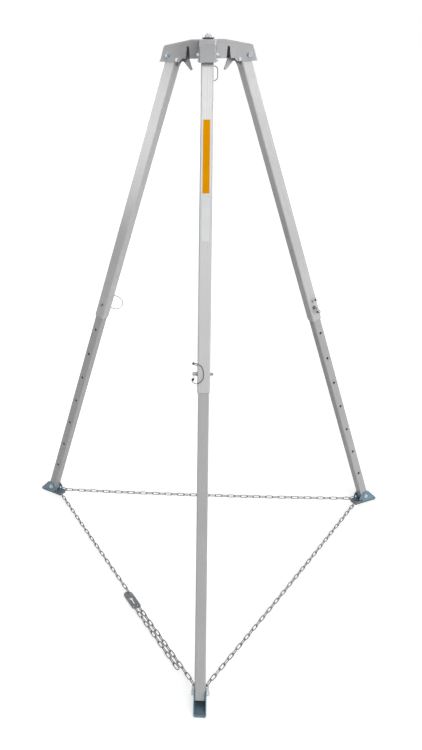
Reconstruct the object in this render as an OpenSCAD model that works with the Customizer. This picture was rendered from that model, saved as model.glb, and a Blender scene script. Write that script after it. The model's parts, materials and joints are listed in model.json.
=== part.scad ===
// Rescue tripod: a folded-sheet head with three hinged, telescopic square legs, spring latches,
// lock pins on wire lanyards, tilting steel shoes and a closed chain loop that limits the spread.
// Millimetres. Z is up, the floor is Z = 0, the centre line is the Z axis, the front leg points to -Y.

/* [Stance] */
// Lean of each spread leg from the vertical, in degrees
leg_lean = 19.5; // [17:0.5:22]
// Distance along a drawn-out leg from its head pivot to its foot pivot
leg_length = 2220; // [2150:5:2300]
// Distance of the leg pivots from the centre line
pivot_radius = 160.5; // [156:0.5:170]
// Distance of a leg pivot from the centre line of its tube, towards the outer face
pivot_offset = 11; // [9:0.5:12]
// Height of a foot pivot above the floor
foot_pivot_height = 40; // [39:0.5:46]

/* [Leg tubes] */
// Outer size of the square upper tube
upper_size = 45; // [44:0.5:50]
// Wall of both tubes
tube_wall = 3; // [2.5:0.1:3.2]
// Sliding gap between the tubes on each side
tube_gap = 0.5; // [0.4:0.1:0.8]
// Outer corner radius of the upper tube
upper_corner = 5; // [4:0.5:6]
// Outer corner radius of the lower tube
lower_corner = 4; // [3.5:0.5:5]
// How far the upper tube stands above its pivot
upper_top = 20; // [16:1:22]
// How far the upper tube reaches below the lock pin
upper_tail = 65; // [50:1:80]
// How far the lower tube reaches above the lock pin when drawn out
lower_overlap = 110; // [90:5:140]
// How far the lower tube reaches below the foot pivot
lower_tail = 18; // [16:0.5:19]

/* [Lock pins] */
// Distance along the leg from the head pivot to the lock pin
pin_place = 1125; // [1100:5:1150]
// Pitch of the lock holes in the lower tube
hole_pitch = 136; // [125:1:138]
// Number of lock holes below the one in use
spare_holes = 7; // [6:1:7]
// Diameter of the lock pin
pin_diameter = 10; // [9:0.5:11]
// Radial clearance of the lock pin in its holes
pin_gap = 0.7; // [0.6:0.1:1]
// Length of the pin tip beyond the tube
pin_tip = 11; // [9:0.5:14]
// Diameter of the pin knob
knob_diameter = 12; // [11:0.5:12.5]
// Length of the pin knob
knob_length = 14; // [13:0.5:16]
// Diameter of the collar that stops the pin on the tube
collar_diameter = 16; // [14:0.5:18]
// Diameter of the spring balls in the pin tip
ball_diameter = 4; // [3.5:0.5:5]

/* [Head housing] */
// Sheet thickness of the housing
head_wall = 4; // [3:0.5:4.5]
// Gap between a leg and each side wall of its arm
arm_side_gap = 4; // [3.5:0.5:5]
// Gap between a spread leg and the end wall of its arm
arm_end_gap = 15; // [8:0.5:18]
// Height of the flat crown above the leg pivots
crown_height = 57; // [55:0.5:62]
// Distance from the centre to the fold where an arm begins to slope
crown_radius = 58; // [45:0.5:60]
// Slope of the arm tops, in degrees
arm_slope = 9.2; // [7:0.1:13]
// Depth of the arms at their ends, below the crown
arm_depth = 80; // [78:0.5:86]
// Depth of the hub walls below the crown
hub_depth = 69; // [66:0.5:72]
// Distance from the centre where the deep part of an arm begins
step_radius = 108; // [104:0.5:110]
// Radius of the bends between neighbouring arms
hub_bend = 20; // [16:0.5:24]
// Radius of the long top edges
top_edge = 8; // [6:0.5:9]
// Radius of the upright edges of an end wall
end_edge = 6; // [5:0.5:7]
// Radius of the nose between an arm's top and its end wall
nose_edge = 12; // [8:0.5:14]

/* [Wall slots] */
// Distance of the wall slots from the centre
slot_radius = 71; // [69:0.5:74]
// Radius of a slot's round top
slot_round = 5.5; // [4.5:0.5:6.5]
// Width of a slot at the lower edge
slot_mouth = 19; // [15:0.5:22]
// Depth of a slot's round top below the crown
slot_top = 30; // [28:0.5:34]

/* [Leg pivots] */
// Diameter of the leg pivot bolts
pivot_bolt = 10; // [9:0.5:11]
// Radial clearance of a bolt in its bush or shoe
bolt_gap = 0.3; // [0.25:0.05:0.4]
// Wall of the flanged pivot bushes
bush_wall = 1.8; // [1.5:0.1:2.2]
// Diameter of the bush flanges
bush_flange = 22; // [20:0.5:24]
// Gap between a bush flange and the arm wall
bush_gap = 0.3; // [0.2:0.05:0.4]

/* [Latches] */
// Gap between a spread leg and its lever hub
latch_gap = 5; // [4:0.5:6]
// Depth of the latch bolts below the crown
latch_depth = 73; // [71:0.5:74]
// Diameter of the latch bolts
latch_bolt = 6; // [5.5:0.5:6.5]
// Thickness of the latch levers
lever_thick = 6; // [5:0.5:8]
// Outer diameter of the lever hubs
hub_diameter = 12; // [11:0.5:12.5]
// Length of the lever hubs
hub_length = 25; // [23:0.5:26]
// Distance along the leg, below its pivot, where the lever nose bears
nose_place = 26; // [24:0.5:28]
// Radius of the lever nose
nose_radius = 4; // [3:0.5:4.5]
// Gap between a lever nose and its leg
nose_gap = 0.4; // [0.3:0.05:0.6]
// Reach of the lever tongue inwards from its bolt
tongue_reach = 45; // [40:0.5:48]
// Drop of the lever tongue below its bolt
tongue_drop = 34; // [30:0.5:36]
// Reach of the lever's straight back inwards from its bolt
tongue_root = 33; // [30:0.5:36]
// Radius of the tongue tip
tongue_tip = 4.5; // [4:0.5:6]
// Wire diameter of the latch springs
spring_wire = 1.5; // [1.2:0.1:1.6]
// Mean radius of the latch springs
spring_radius = 5.2; // [5:0.1:5.4]
// Pitch of the spring curls
spring_pitch = 2.1; // [2.05:0.05:2.2]
// Number of spring curls
spring_curls = 5; // [3:1:5]

/* [Anchor] */
// Diameter of the anchor shank
shank_diameter = 16; // [14:0.5:18]
// Bore of the anchor eye
eye_bore = 30; // [26:1:34]
// Width of the eye's bar, measured outwards from the bore
eye_bar = 12; // [10:0.5:14]
// Thickness of the eye along its bore
eye_thick = 16; // [14:0.5:18]
// Gap between the hub walls and the top of the eye's bore
eye_drop = 6; // [4:0.5:10]
// Rim diameter of the dished washer
dish_rim = 49; // [46:1:54]
// Height of the dished washer
dish_height = 6; // [5:0.5:8]
// Width of the dome nut across its flats
dome_flats = 24; // [23:0.5:27]

/* [Shoes] */
// Sheet thickness of the shoe cheeks
cheek_wall = 3; // [2.5:0.5:4]
// Gap between the lower tube and each cheek
cheek_gap = 0.6; // [0.4:0.1:1]
// Reach of a shoe outwards from its pivot
toe_reach = 68; // [62:1:74]
// Reach of a shoe inwards from its pivot
heel_reach = 56; // [52:1:60]
// Height of the cheeks above the pivot
cheek_top = 21; // [18:0.5:24]
// Thickness of the sole plate
sole_thick = 3.5; // [3:0.5:4]
// Thickness of the rubber tread under the sole
tread_thick = 7; // [6:0.5:7]
// Inset of the tread from the sole's edges
tread_inset = 3; // [2:0.5:5]
// Thickness of the lip that is folded down at the toe
toe_lip = 3; // [2.5:0.5:4]
// Diameter of the foot bolts
foot_bolt = 10; // [9:0.5:10]

/* [Chain] */
// Number of links in each run between two shoes, an odd number
run_links = 45; // [41:2:49]
// Wire diameter of the links
link_wire = 4; // [3.5:0.5:4.5]
// Inner width of the links
link_inner = 8; // [7.5:0.5:9]
// Play between neighbouring links
link_play = 0.4; // [0.3:0.05:0.6]
// Height of the chain holes above the floor
chain_height = 17.5; // [17:0.5:20]
// Distance of the chain holes inwards from the foot pivot
chain_inset = 22; // [21.5:0.5:23]
// Diameter of the chain holes
chain_hole = 12; // [11.5:0.5:12.5]
// Sag of a run at its middle
chain_sag = 8; // [5:0.5:8]
// Number of spare links that hang from the shortener plate
tail_links = 12; // [6:1:14]
// Sideways distance of the spare links from the run
tail_side = 17; // [16.8:0.2:20]

/* [Hidden] */
$fn = 48;
leg_angles = [-90, 30, 150];
pivot_height = foot_pivot_height + leg_length*cos(leg_lean) + pivot_offset*sin(leg_lean);
foot_radius = pivot_radius + leg_length*sin(leg_lean) - pivot_offset*cos(leg_lean);
crown_level = pivot_height + crown_height;
lower_size = upper_size - 2*tube_wall - 2*tube_gap;
arm_inner = upper_size + 2*arm_side_gap;
arm_outer = arm_inner + 2*head_wall;
// Outer face of an end wall, measured from the leg pivot square to the leg
end_face = upper_size/2 - pivot_offset + arm_end_gap + head_wall;
// Lever nose centre and latch bolt, in the arm's own plane
inner_face = upper_size/2 + pivot_offset;
latch_fall = latch_depth - crown_height;
latch_radius = pivot_radius
    - (inner_face + hub_diameter/2 + latch_gap - latch_fall*sin(leg_lean))/cos(leg_lean);
nose_reach = inner_face + nose_gap + nose_radius;
nose_r = pivot_radius - nose_reach*cos(leg_lean) + nose_place*sin(leg_lean);
nose_z = -crown_height - nose_reach*sin(leg_lean) - nose_place*cos(leg_lean);
nose_point = [nose_r - latch_radius, nose_z + latch_depth];
shoe_inner = lower_size + 2*cheek_gap;
shoe_outer = shoe_inner + 2*cheek_wall;
cheek_middle = shoe_inner/2 + cheek_wall/2;
heel_edge = chain_inset + chain_hole/2 + 4;
end_bar = chain_inset + chain_hole/2 - link_wire/2 - link_play/2;
// A run starts at the inner end of the link through the cheek of one shoe and ends at the next shoe
run_turn = 30;
function shoe_point(side, reach) = [foot_radius - reach, side*cheek_middle];
function turned(p, a) = [p[0]*cos(a) - p[1]*sin(a), p[0]*sin(a) + p[1]*cos(a)];
// The link length closes the loop: each run has run_links links and each shoe two more
run_span = 2*(foot_radius - end_bar)*cos(run_turn) - 2*cheek_middle*sin(run_turn);
link_pitch = (run_span - link_wire*cos(run_turn))/(run_links + 2*cos(run_turn));
link_long = link_pitch + link_play;
run_from = end_bar + link_pitch + link_wire/2;
lanyard_wire = 2.4;
// Route of a lanyard on its leg: outwards from the tube's middle, sideways, and up from the lock pin
lanyard_route = [[12, -32.5, 37.5], [18, -26, 37], [25, -18, 34], [27, -8, 27], [28, -2, 15], [28, 0, 2],
    [28, -1, -11], [27, -6, -22], [26, -15, -30], [23, -25, -33], [17, -34, -31], [10, -40, -27],
    [6, -39.1, -23.4]];
// Route on the left leg, where the wire stands off the inner edge of the tube
open_route = [[-13, -38.5, 37.5], [-23, -45, 37.5], [-35, -53, 33], [-45, -60.5, 23], [-49.5, -64, 10],
    [-49.5, -64, -3], [-45, -61, -15], [-37, -55.5, -24.5], [-26, -49, -29.5], [-15, -43.5, -28],
    [-6.2, -39.9, -22.7]];

// Small excess of a rounding radius, so that it crosses the faces that it joins
ease = 0.05;

alloy = [0.80, 0.80, 0.81];
grey = [0.62, 0.62, 0.64];
zinc = [0.62, 0.66, 0.70];
black = [0.06, 0.06, 0.06];

function unit(v) = v/norm(v);
function across(u, v) = u[0]*v[1] - u[1]*v[0];
// Point where the line from p along u meets the line from q along v
function meet(p, u, q, v) = p + u*(across(q - p, v)/across(u, v));

// Frames: an arm of the head, its crown level, its leg pivot, its leg and its shoe
module at_arm(i) { rotate([0, 0, leg_angles[i]]) children(); }
module at_crown(i) { at_arm(i) translate([0, 0, crown_level]) children(); }
module at_pivot(i) { at_arm(i) translate([pivot_radius, 0, pivot_height]) children(); }
module at_leg(i) { at_pivot(i) rotate([0, -leg_lean, 0]) translate([-pivot_offset, 0, 0]) children(); }
module at_pin(i) { at_leg(i) translate([0, 0, -pin_place]) children(); }
module at_latch(i) { at_crown(i) translate([latch_radius, 0, -latch_depth]) children(); }
module at_foot(i) { at_arm(i) translate([foot_radius, 0, foot_pivot_height]) children(); }

// Cylinder along Y, centred
module cross_pin(d, length) { rotate([90, 0, 0]) cylinder(d = d, h = length, center = true); }

// Cylinder along Y from one distance to another
module cross_bar(d, from, to) {
    translate([0, from, 0]) rotate([-90, 0, 0]) cylinder(d = d, h = to - from);
}

module rounded_square(size, radius) {
    square([size, size - 2*radius], center = true);
    square([size - 2*radius, size], center = true);
    for (x = [-1, 1], y = [-1, 1])
        translate([x*(size/2 - radius), y*(size/2 - radius)]) circle(radius);
}

module tube_section(size, radius) {
    difference() {
        rounded_square(size, radius);
        rounded_square(size - 2*tube_wall, max(1.5, radius - tube_wall));
    }
}

// Waste outside a rounded corner at p, between the edges that leave it along u and v
module corner_waste(p, u, v, r) {
    half = acos(u*v)/2;
    middle = p + unit(u + v)*r/sin(half);
    near = p + u*r/tan(half);
    next = p + v*r/tan(half);
    difference() {
        polygon([middle, near + unit(near - middle), p - unit(u + v)*r, next + unit(next - middle)]);
        translate(middle) circle(r + ease);
    }
}

// Waste above an arm's sloping top and beyond its end wall, in the arm's own upright plane;
// depth moves both faces in, for the hollow under them
arm_far = pivot_radius + 80;
slope_way = [cos(arm_slope), -sin(arm_slope)];
fall_way = [sin(leg_lean), -cos(leg_lean)];

module arm_waste(depth, nose_round) {
    low = -arm_depth - 30;
    reach = end_face - depth;
    face = [pivot_radius + reach*cos(leg_lean), -crown_height + reach*sin(leg_lean)];
    top = [crown_radius - depth*sin(arm_slope), -depth*cos(arm_slope)];
    start = top - slope_way*20;
    nose = meet(top, slope_way, face, fall_way);
    foot = meet([0, low], [1, 0], face, fall_way);
    polygon([start, nose, foot, [arm_far + 5, low], [arm_far + 5, 5], [start[0], 5]]);
    if (nose_round > 0) corner_waste(nose, -slope_way, fall_way, nose_round);
}

// Plan of the head: three arms with bends between them
module head_plan(half, bend) {
    far = (half + bend)/sin(60);
    centre = far*[cos(60), sin(60)];
    for (i = [0:2]) rotate(leg_angles[i]) {
        translate([0, -half]) square([arm_far, 2*half]);
        difference() {
            polygon([[0, 0], [centre[0], half], centre, turned([centre[0], -half], 120)]);
            translate(centre) circle(bend + ease);
        }
    }
}

// Waste under the shallow middle of the head, up to the step in each arm
module step_waste() {
    slant = arm_depth - hub_depth;
    translate([0, 0, crown_level - arm_depth - 1]) linear_extrude(1 + slant) {
        circle((arm_outer/2 + hub_bend)/sin(60) + 4);
        for (a = leg_angles) rotate(a) translate([0, -arm_outer/2 - 1])
            square([step_radius - slant + 0.5, arm_outer + 2]);
    }
    for (i = [0:2]) at_crown(i) upright(arm_outer + 2)
        polygon([[step_radius - slant, -hub_depth], [step_radius + 1, -arm_depth - 1],
            [step_radius - 2*slant, -arm_depth - 1], [step_radius - 2*slant, -hub_depth - 2]]);
}

// Waste outside a rounded edge of radius r, in the corner at the origin
module edge_waste(r) {
    difference() {
        translate([-r, -r]) square(r + 1);
        translate([-r, -r]) circle(r + ease);
    }
}

module arm_edges(half) {
    far = (half + hub_bend)/sin(60);
    start = far*cos(60);
    for (s = [-1, 1]) {
        // level edge, sloping edge and upright edge of the end wall
        translate([start - 0.5, s*half, 0]) rotate([90, 0, 90]) mirror([s < 0 ? 1 : 0, 0, 0])
            linear_extrude(crown_radius - start + 4.5) edge_waste(top_edge);
        translate([crown_radius, s*half, 0]) rotate([0, arm_slope, 0]) translate([-4, 0, 0])
            rotate([90, 0, 90]) mirror([s < 0 ? 1 : 0, 0, 0])
            linear_extrude(pivot_radius) edge_waste(top_edge);
        translate([pivot_radius, 0, -crown_height]) rotate([0, -leg_lean, 0])
            translate([end_face, s*half, -arm_depth]) mirror([0, s < 0 ? 1 : 0, 0])
            linear_extrude(2*arm_depth) edge_waste(end_edge);
    }
    // bend towards the next arm
    translate([far*cos(60), far*sin(60), 0]) rotate([0, 0, -150]) rotate_extrude(angle = 60)
        translate([hub_bend + ease, -ease]) mirror([1, 0]) edge_waste(top_edge);
}

module slot_shape() {
    low = arm_depth + 2;
    translate([slot_radius, -slot_top]) circle(slot_round);
    polygon([[slot_radius - slot_round, -slot_top], [slot_radius + slot_round, -slot_top],
        [slot_radius + slot_mouth/2, -hub_depth], [slot_radius + slot_mouth/2, -low],
        [slot_radius - slot_mouth/2, -low], [slot_radius - slot_mouth/2, -hub_depth]]);
}

module upright(width) { rotate([90, 0, 0]) linear_extrude(width, center = true) children(); }

module head_housing() {
    half = arm_outer/2;
    color(grey) difference() {
        translate([0, 0, crown_level - arm_depth]) linear_extrude(arm_depth) head_plan(half, hub_bend);
        difference() {
            translate([0, 0, crown_level - arm_depth - 20])
                linear_extrude(arm_depth + 20 - head_wall) head_plan(half - head_wall, hub_bend + head_wall);
            for (i = [0:2]) at_crown(i) upright(arm_outer) arm_waste(head_wall, 0);
        }
        step_waste();
        for (i = [0:2]) at_crown(i) {
            upright(arm_outer + 2) arm_waste(0, nose_edge);
            arm_edges(half);
            upright(arm_outer + 2) slot_shape();
            translate([pivot_radius, 0, -crown_height]) cross_pin(pivot_bolt + 0.4, arm_outer + 2);
            translate([latch_radius, 0, -latch_depth]) cross_pin(latch_bolt + 0.4, arm_outer + 2);
        }
        translate([0, 0, crown_level - head_wall - 1]) cylinder(d = shank_diameter + 0.6, h = head_wall + 2);
    }
}

// Anchor: an eye under the crown, held from above by a dished washer and a dome nut
dish_floor = 2.5;
dome_grip = 12;
eye_centre = hub_depth + eye_drop + eye_bore/2;

module eye_section() {
    soft = 4;
    translate([eye_bore/2, -eye_thick/2 + soft]) square([eye_bar, eye_thick - 2*soft]);
    translate([eye_bore/2 + soft, -eye_thick/2]) square([eye_bar - 2*soft, eye_thick]);
    for (x = [soft, eye_bar - soft], y = [-1, 1])
        translate([eye_bore/2 + x, y*(eye_thick/2 - soft)]) circle(soft);
}

module anchor_eye() {
    neck_foot = -eye_centre + eye_bore/2 + eye_bar/2;
    color(zinc) translate([0, 0, crown_level]) union() {
        translate([0, 0, -eye_centre]) rotate([0, 90, 0]) rotate_extrude() eye_section();
        translate([0, 0, neck_foot]) cylinder(d = eye_thick - 2, h = -head_wall - 8 - neck_foot);
        translate([0, 0, -head_wall - 9]) cylinder(d = 2*shank_diameter, h = 9);
        translate([0, 0, -head_wall - 1])
            cylinder(d = shank_diameter, h = head_wall + 1 + dish_floor + dome_grip);
    }
}

module anchor_washer() {
    hole = shank_diameter/2 + 0.3;
    foot = dish_rim/2 - dish_height;
    color(black) translate([0, 0, crown_level]) rotate_extrude()
        polygon([[hole, 0], [foot, 0], [dish_rim/2, dish_height - 0.8], [dish_rim/2, dish_height],
            [dish_rim/2 - 1.5, dish_height], [foot - 1, dish_floor], [hole, dish_floor]]);
}

module anchor_dome_nut() {
    high = 12;
    cap = 6;
    wide = dome_flats/2 - 0.6;
    bulge = (wide*wide + cap*cap)/(2*cap);
    color(zinc) translate([0, 0, crown_level + dish_floor]) difference() {
        union() {
            intersection() {
                cylinder(d = dome_flats/cos(30), h = high, $fn = 6);
                cylinder(r1 = dome_flats*0.62, r2 = dome_flats*0.5 + 0.8, h = high);
            }
            translate([0, 0, high - 0.5]) cylinder(r = wide, h = 1.5);
            translate([0, 0, high + 1]) intersection() {
                translate([0, 0, cap - bulge]) sphere(bulge);
                cylinder(r = wide + 1, h = cap + 1);
            }
        }
        translate([0, 0, -1]) cylinder(d = shank_diameter + 0.3, h = dome_grip + 1.4);
    }
}

// Hex-head bolt along Y with its head at the low end, washer face against the wall
module cross_bolt(d, wall_face, far_face, flats, tall) {
    seat = 1.5;
    cross_bar(d, -wall_face - 1, far_face);
    cross_bar(flats + 4, -wall_face - seat, -wall_face);
    difference() {
        translate([0, -wall_face - seat, 0]) rotate([90, 0, 0])
            cylinder(d = flats/cos(30), h = tall, $fn = 6);
        cross_bar(d*0.5, -wall_face - seat - tall - 1, -wall_face - seat - tall + 1.6);
    }
}

// Flanged hex nut along Y, seated on a wall face
module cross_nut(d, wall_face, flats, tall) {
    difference() {
        union() {
            cross_bar(flats + 4, wall_face, wall_face + 1.6);
            translate([0, wall_face + 1, 0]) rotate([-90, 0, 0])
                cylinder(d = flats/cos(30), h = tall, $fn = 6);
            cross_bar(flats*0.86, wall_face + tall, wall_face + tall + 2.6);
        }
        cross_bar(d + 0.3, wall_face - 1, wall_face + tall + 4);
    }
}

pivot_flats = 16;
latch_flats = 10;

module leg_pivot_bolts() {
    color(zinc) for (i = [0:2]) at_pivot(i)
        cross_bolt(pivot_bolt, arm_outer/2, arm_outer/2 + 12, pivot_flats, 6.4);
}

module leg_pivot_nuts() {
    color(zinc) for (i = [0:2]) at_pivot(i) cross_nut(pivot_bolt, arm_outer/2, pivot_flats, 8);
}

module latch_bolts() {
    color(zinc) for (i = [0:2]) at_latch(i)
        cross_bolt(latch_bolt, arm_outer/2, arm_outer/2 + 8, latch_flats, 4);
}

module latch_nuts() {
    color(zinc) for (i = [0:2]) at_latch(i) cross_nut(latch_bolt, arm_outer/2, latch_flats, 5);
}

// Upper tube, with its bush holes, lock pin hole and lanyard tab hole
bush_outer = pivot_bolt + 2*bolt_gap + 2*bush_wall;
eyelet_rise = 32;
eyelet_screw = 5;

module upper_tube(i) {
    long = upper_top + pin_place + upper_tail;
    color(alloy) at_leg(i) difference() {
        translate([0, 0, -pin_place - upper_tail])
            linear_extrude(long) tube_section(upper_size, upper_corner);
        translate([pivot_offset, 0, 0]) cross_pin(bush_outer, upper_size + 2);
        translate([0, 0, -pin_place]) cross_pin(pin_diameter + 2*pin_gap, upper_size + 2);
        translate([0, -upper_size/2, eyelet_rise - pin_place]) cross_pin(eyelet_screw, 4*tube_wall);
    }
}

module pivot_bushes(i) {
    out = arm_inner/2 - bush_gap;
    color(black) at_pivot(i) rotate([0, -leg_lean, 0]) for (s = [0, 1]) mirror([0, s, 0]) difference() {
        union() {
            cross_bar(bush_outer, upper_size/2 - tube_wall - 1, upper_size/2 + 0.5);
            cross_bar(bush_flange, upper_size/2, out);
        }
        cross_bar(pivot_bolt + 2*bolt_gap, 0, arm_inner);
    }
}

// Riveted tab with a ring and the upper lanyard ferrule
ring_radius = 9;
ring_wire = 2;
ring_out = 13.6;
upper_ball = 9;
// Depth to which a crimped ball bites its ring
crimp = 0.4;

// The left leg carries its lanyard on the inner side, the other two on the outer side
function lay_side(i) = i == 2 ? -1 : 1;

module lanyard_eyelet(i) {
    face = upper_size/2;
    color(zinc) at_pin(i) translate([0, 0, eyelet_rise]) {
        difference() {
            union() {
                cross_bar(eyelet_screw - 0.4, -face - 1, -face + tube_wall - 0.1);
                cross_bar(12, -face - 1.5, -face);
                translate([-1, -face - 9, -5]) cube([2, 8, 10]);
            }
            translate([0, -face - 5.6, 0]) rotate([0, 90, 0]) cylinder(d = 5, h = 8, center = true);
        }
        translate([0, -face - ring_out, 0])
            rotate_extrude() translate([ring_radius, 0]) circle(d = ring_wire);
        translate([lay_side(i)*ring_radius, -face - ring_out, ring_wire/2 + upper_ball/2 - crimp])
            sphere(d = upper_ball);
    }
}

// Tube swept along a route: rings of points joined by triangles
function lead(p, k) = unit(p[min(k + 1, len(p) - 1)] - p[max(k - 1, 0)]);
function ring_at(p, k, r, sides, ref) = let (t = lead(p, k), u = unit(cross(t, ref)), v = cross(t, u))
    [for (j = [0:sides - 1]) p[k] + r*cos(360*j/sides)*u + r*sin(360*j/sides)*v];

module swept_tube(p, r, sides, ref) {
    n = len(p);
    points = [for (k = [0:n - 1]) each ring_at(p, k, r, sides, ref)];
    sheath = [for (k = [0:n - 2], j = [0:sides - 1]) let (a = k*sides + j, b = k*sides + (j + 1)%sides)
        each [[a, b, b + sides], [a, b + sides, a + sides]]];
    start = [for (j = [1:sides - 2]) [0, j + 1, j]];
    finish = [for (j = [1:sides - 2]) (n - 1)*sides*[1, 1, 1] + [0, j, j + 1]];
    polyhedron(points, concat(start, sheath, finish));
}

// Smooth curve through a route, with the same number of parts to each stretch
function curve_at(p, k, t) =
    let (a = p[max(k - 1, 0)], b = p[k], c = p[k + 1], d = p[min(k + 2, len(p) - 1)])
    0.5*(2*b + (c - a)*t + (2*a - 5*b + 4*c - d)*t*t + (3*b - a - 3*c + d)*t*t*t);
function smooth(p, parts) = [for (k = [0:len(p) - 2], j = [0:parts - 1]) curve_at(p, k, j/parts),
    p[len(p) - 1]];
function route_length(p, k = 1) = k == len(p) ? 0 : norm(p[k] - p[k - 1]) + route_length(p, k + 1);

lanyard_line = smooth(lanyard_route, 2);
open_line = smooth(open_route, 2);

module lanyard(i) {
    line = lay_side(i) > 0 ? lanyard_line : open_line;
    color(black) at_pin(i) swept_tube(line, lanyard_wire/2, 8, [0.31, 0.17, 0.94]);
}

// Lock pin: shaft with a tapered tip and spring balls, a stop collar, and a knob drilled for its ring
collar_thick = 3;
knob_end = upper_size/2 + 0.4 + collar_thick + knob_length;
knob_hole = knob_end - 5;

module lock_pin(i) {
    face = upper_size/2;
    stop = -face - 0.4;
    color(zinc) at_pin(i) difference() {
        union() {
            rotate([-90, 0, 0]) rotate_extrude() polygon([[0, -knob_end], [knob_diameter/2 - 1, -knob_end],
                [knob_diameter/2, -knob_end + 1], [knob_diameter/2, stop - collar_thick],
                [collar_diameter/2, stop - collar_thick], [collar_diameter/2, stop], [pin_diameter/2, stop],
                [pin_diameter/2, face + pin_tip - 3], [pin_diameter/2 - 2, face + pin_tip],
                [0, face + pin_tip]]);
            for (s = [-1, 1]) translate([s*(pin_diameter/2 + 0.4 - ball_diameter/2), face + pin_tip - 6, 0])
                sphere(d = ball_diameter);
        }
        translate([0, -knob_hole, -1]) rotate([0, 90, 0])
            cylinder(d = knob_ring_wire + 3, h = 2*knob_diameter, center = true);
    }
}

// Ring through the pin knob with the crimped ball at the lanyard's lower end
knob_ring_wire = 2;
knob_ring = 8;
lower_ball = 10;
function ball_lean(i) = unit([lay_side(i)*2.3, -3.5, -4.6]);

module pin_ferrule(i) {
    foot = [0, -knob_hole, -2*knob_ring];
    color(black) at_pin(i) {
        translate([0, -knob_hole, -knob_ring]) rotate([90, 0, 0]) rotate_extrude()
            translate([knob_ring, 0]) circle(d = knob_ring_wire);
        translate(foot + ball_lean(i)*(lower_ball/2 + knob_ring_wire/2 - crimp)) sphere(d = lower_ball);
    }
}

// Latch lever: hub on its bolt, a nose that bears on the leg and a tapered thumb tongue
module lever_shape() {
    tip = [-tongue_reach, -tongue_drop];
    side = unit([tongue_drop, -tongue_reach])*tongue_tip;
    along = unit(nose_point);
    flank = [-along[1], along[0]];
    difference() {
        union() {
            circle(d = hub_diameter);
            translate(nose_point) circle(nose_radius);
            polygon([flank*hub_diameter*0.42, nose_point + flank*nose_radius, nose_point - flank*nose_radius,
                -flank*hub_diameter*0.42]);
            translate(tip) circle(tongue_tip);
            polygon([[0, hub_diameter/2], [-tongue_root, hub_diameter/2 + 1], tip - side*0.98,
                tip + side*0.98, [-hub_diameter, -hub_diameter/2], [0, -hub_diameter/2]]);
        }
        circle(d = latch_bolt + 2*bolt_gap);
    }
}

module latch_lever(i) {
    color(grey) at_latch(i) {
        upright(lever_thick) lever_shape();
        difference() {
            cross_pin(hub_diameter, hub_length);
            cross_pin(latch_bolt + 2*bolt_gap, hub_length + 2);
        }
    }
}

// Torsion spring on the latch bolt, one arm along the lever and one along the wall
spring_start = hub_length/2 + spring_wire/2 + 0.3;
function curl(k, n) = let (a = -90 + 360*(spring_curls + 0.5)*k/n)
    [spring_radius*cos(a), spring_start + spring_pitch*(spring_curls + 0.5)*k/n, spring_radius*sin(a)];
curl_rings = 8*spring_curls + 4;
spring_line = concat([[-26, lever_thick/2 + spring_wire/2 + 0.4, -spring_radius],
        [-hub_diameter/2 - 3, spring_start, -spring_radius]],
    [for (k = [0:curl_rings]) curl(k, curl_rings)],
    [[-24, arm_inner/2 - spring_wire/2 - 0.4, spring_radius + 3]]);
spring_least = min([for (a = [0:len(spring_line) - 1], b = [0:len(spring_line) - 1])
    if (b > a + 4) norm(spring_line[a] - spring_line[b])]) - spring_wire;

module latch_spring(i) {
    color(black) at_latch(i) swept_tube(spring_line, spring_wire/2, 6, [0.02, 1, 0.03]);
}

module lower_tube(i) {
    top = lower_overlap - pin_place;
    low = -leg_length - lower_tail;
    color(alloy) at_leg(i) difference() {
        translate([0, 0, low]) linear_extrude(top - low) tube_section(lower_size, lower_corner);
        for (k = [0:spare_holes]) translate([0, 0, -pin_place - k*hole_pitch])
            cross_pin(pin_diameter + 2*pin_gap, lower_size + 2);
        translate([0, 0, -leg_length]) cross_pin(foot_bolt + 0.4, lower_size + 2);
    }
}

foot_flats = 16;

module foot_bolt(i) {
    color(zinc) at_foot(i) cross_bolt(foot_bolt, shoe_outer/2 + 0.3, shoe_outer/2 + 11, foot_flats, 6);
}

module foot_nut(i) {
    color(zinc) at_foot(i) cross_nut(foot_bolt, shoe_outer/2 + 0.3, foot_flats, 7);
}

// Shoe: a folded channel with two pointed cheeks on a sole
crest_front = 20;
crest_rear = 8;
heel_shoulder = -8;
cheek_round = 7;
lip_low = 0.8;
lip_gap = 1;

module cheek_shape() {
    low = -foot_pivot_height + tread_thick;
    toe = [toe_reach, low + sole_thick + 2];
    front = [crest_front, cheek_top];
    rear = [-crest_rear, cheek_top];
    heel = [-heel_edge, heel_shoulder];
    difference() {
        polygon([[-heel_edge, low], [toe_reach, low], toe, front, rear, heel]);
        corner_waste(front, unit(toe - front), [-1, 0], cheek_round);
        corner_waste(rear, [1, 0], unit(heel - rear), cheek_round);
        corner_waste(heel, unit(rear - heel), [0, -1], cheek_round);
        circle(d = foot_bolt + 2*bolt_gap);
        translate([-chain_inset, chain_height - foot_pivot_height]) circle(d = chain_hole);
    }
}

module foot_shoe(i) {
    low = -foot_pivot_height + tread_thick;
    color(zinc) at_foot(i) union() {
        for (s = [-1, 1]) translate([0, s*cheek_middle, 0]) upright(cheek_wall) cheek_shape();
        translate([-heel_reach, -shoe_outer/2, low]) cube([heel_reach + toe_reach, shoe_outer, sole_thick]);
        translate([toe_reach - toe_lip, -shoe_inner/2 - 0.5, lip_low - foot_pivot_height])
            cube([toe_lip - 0.2, shoe_inner + 1, tread_thick + 1 - lip_low]);
    }
}

module foot_tread(i) {
    long = heel_reach + toe_reach - tread_inset - toe_lip - lip_gap;
    wide = shoe_outer - 2*tread_inset;
    groove = 4;
    color(black) at_foot(i) translate([-heel_reach + tread_inset, -wide/2, -foot_pivot_height]) difference() {
        cube([long, wide, tread_thick]);
        for (k = [1:6]) translate([k*long/7 - groove/2, -1, -1]) cube([groove, wide + 2, 3]);
    }
}

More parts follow.
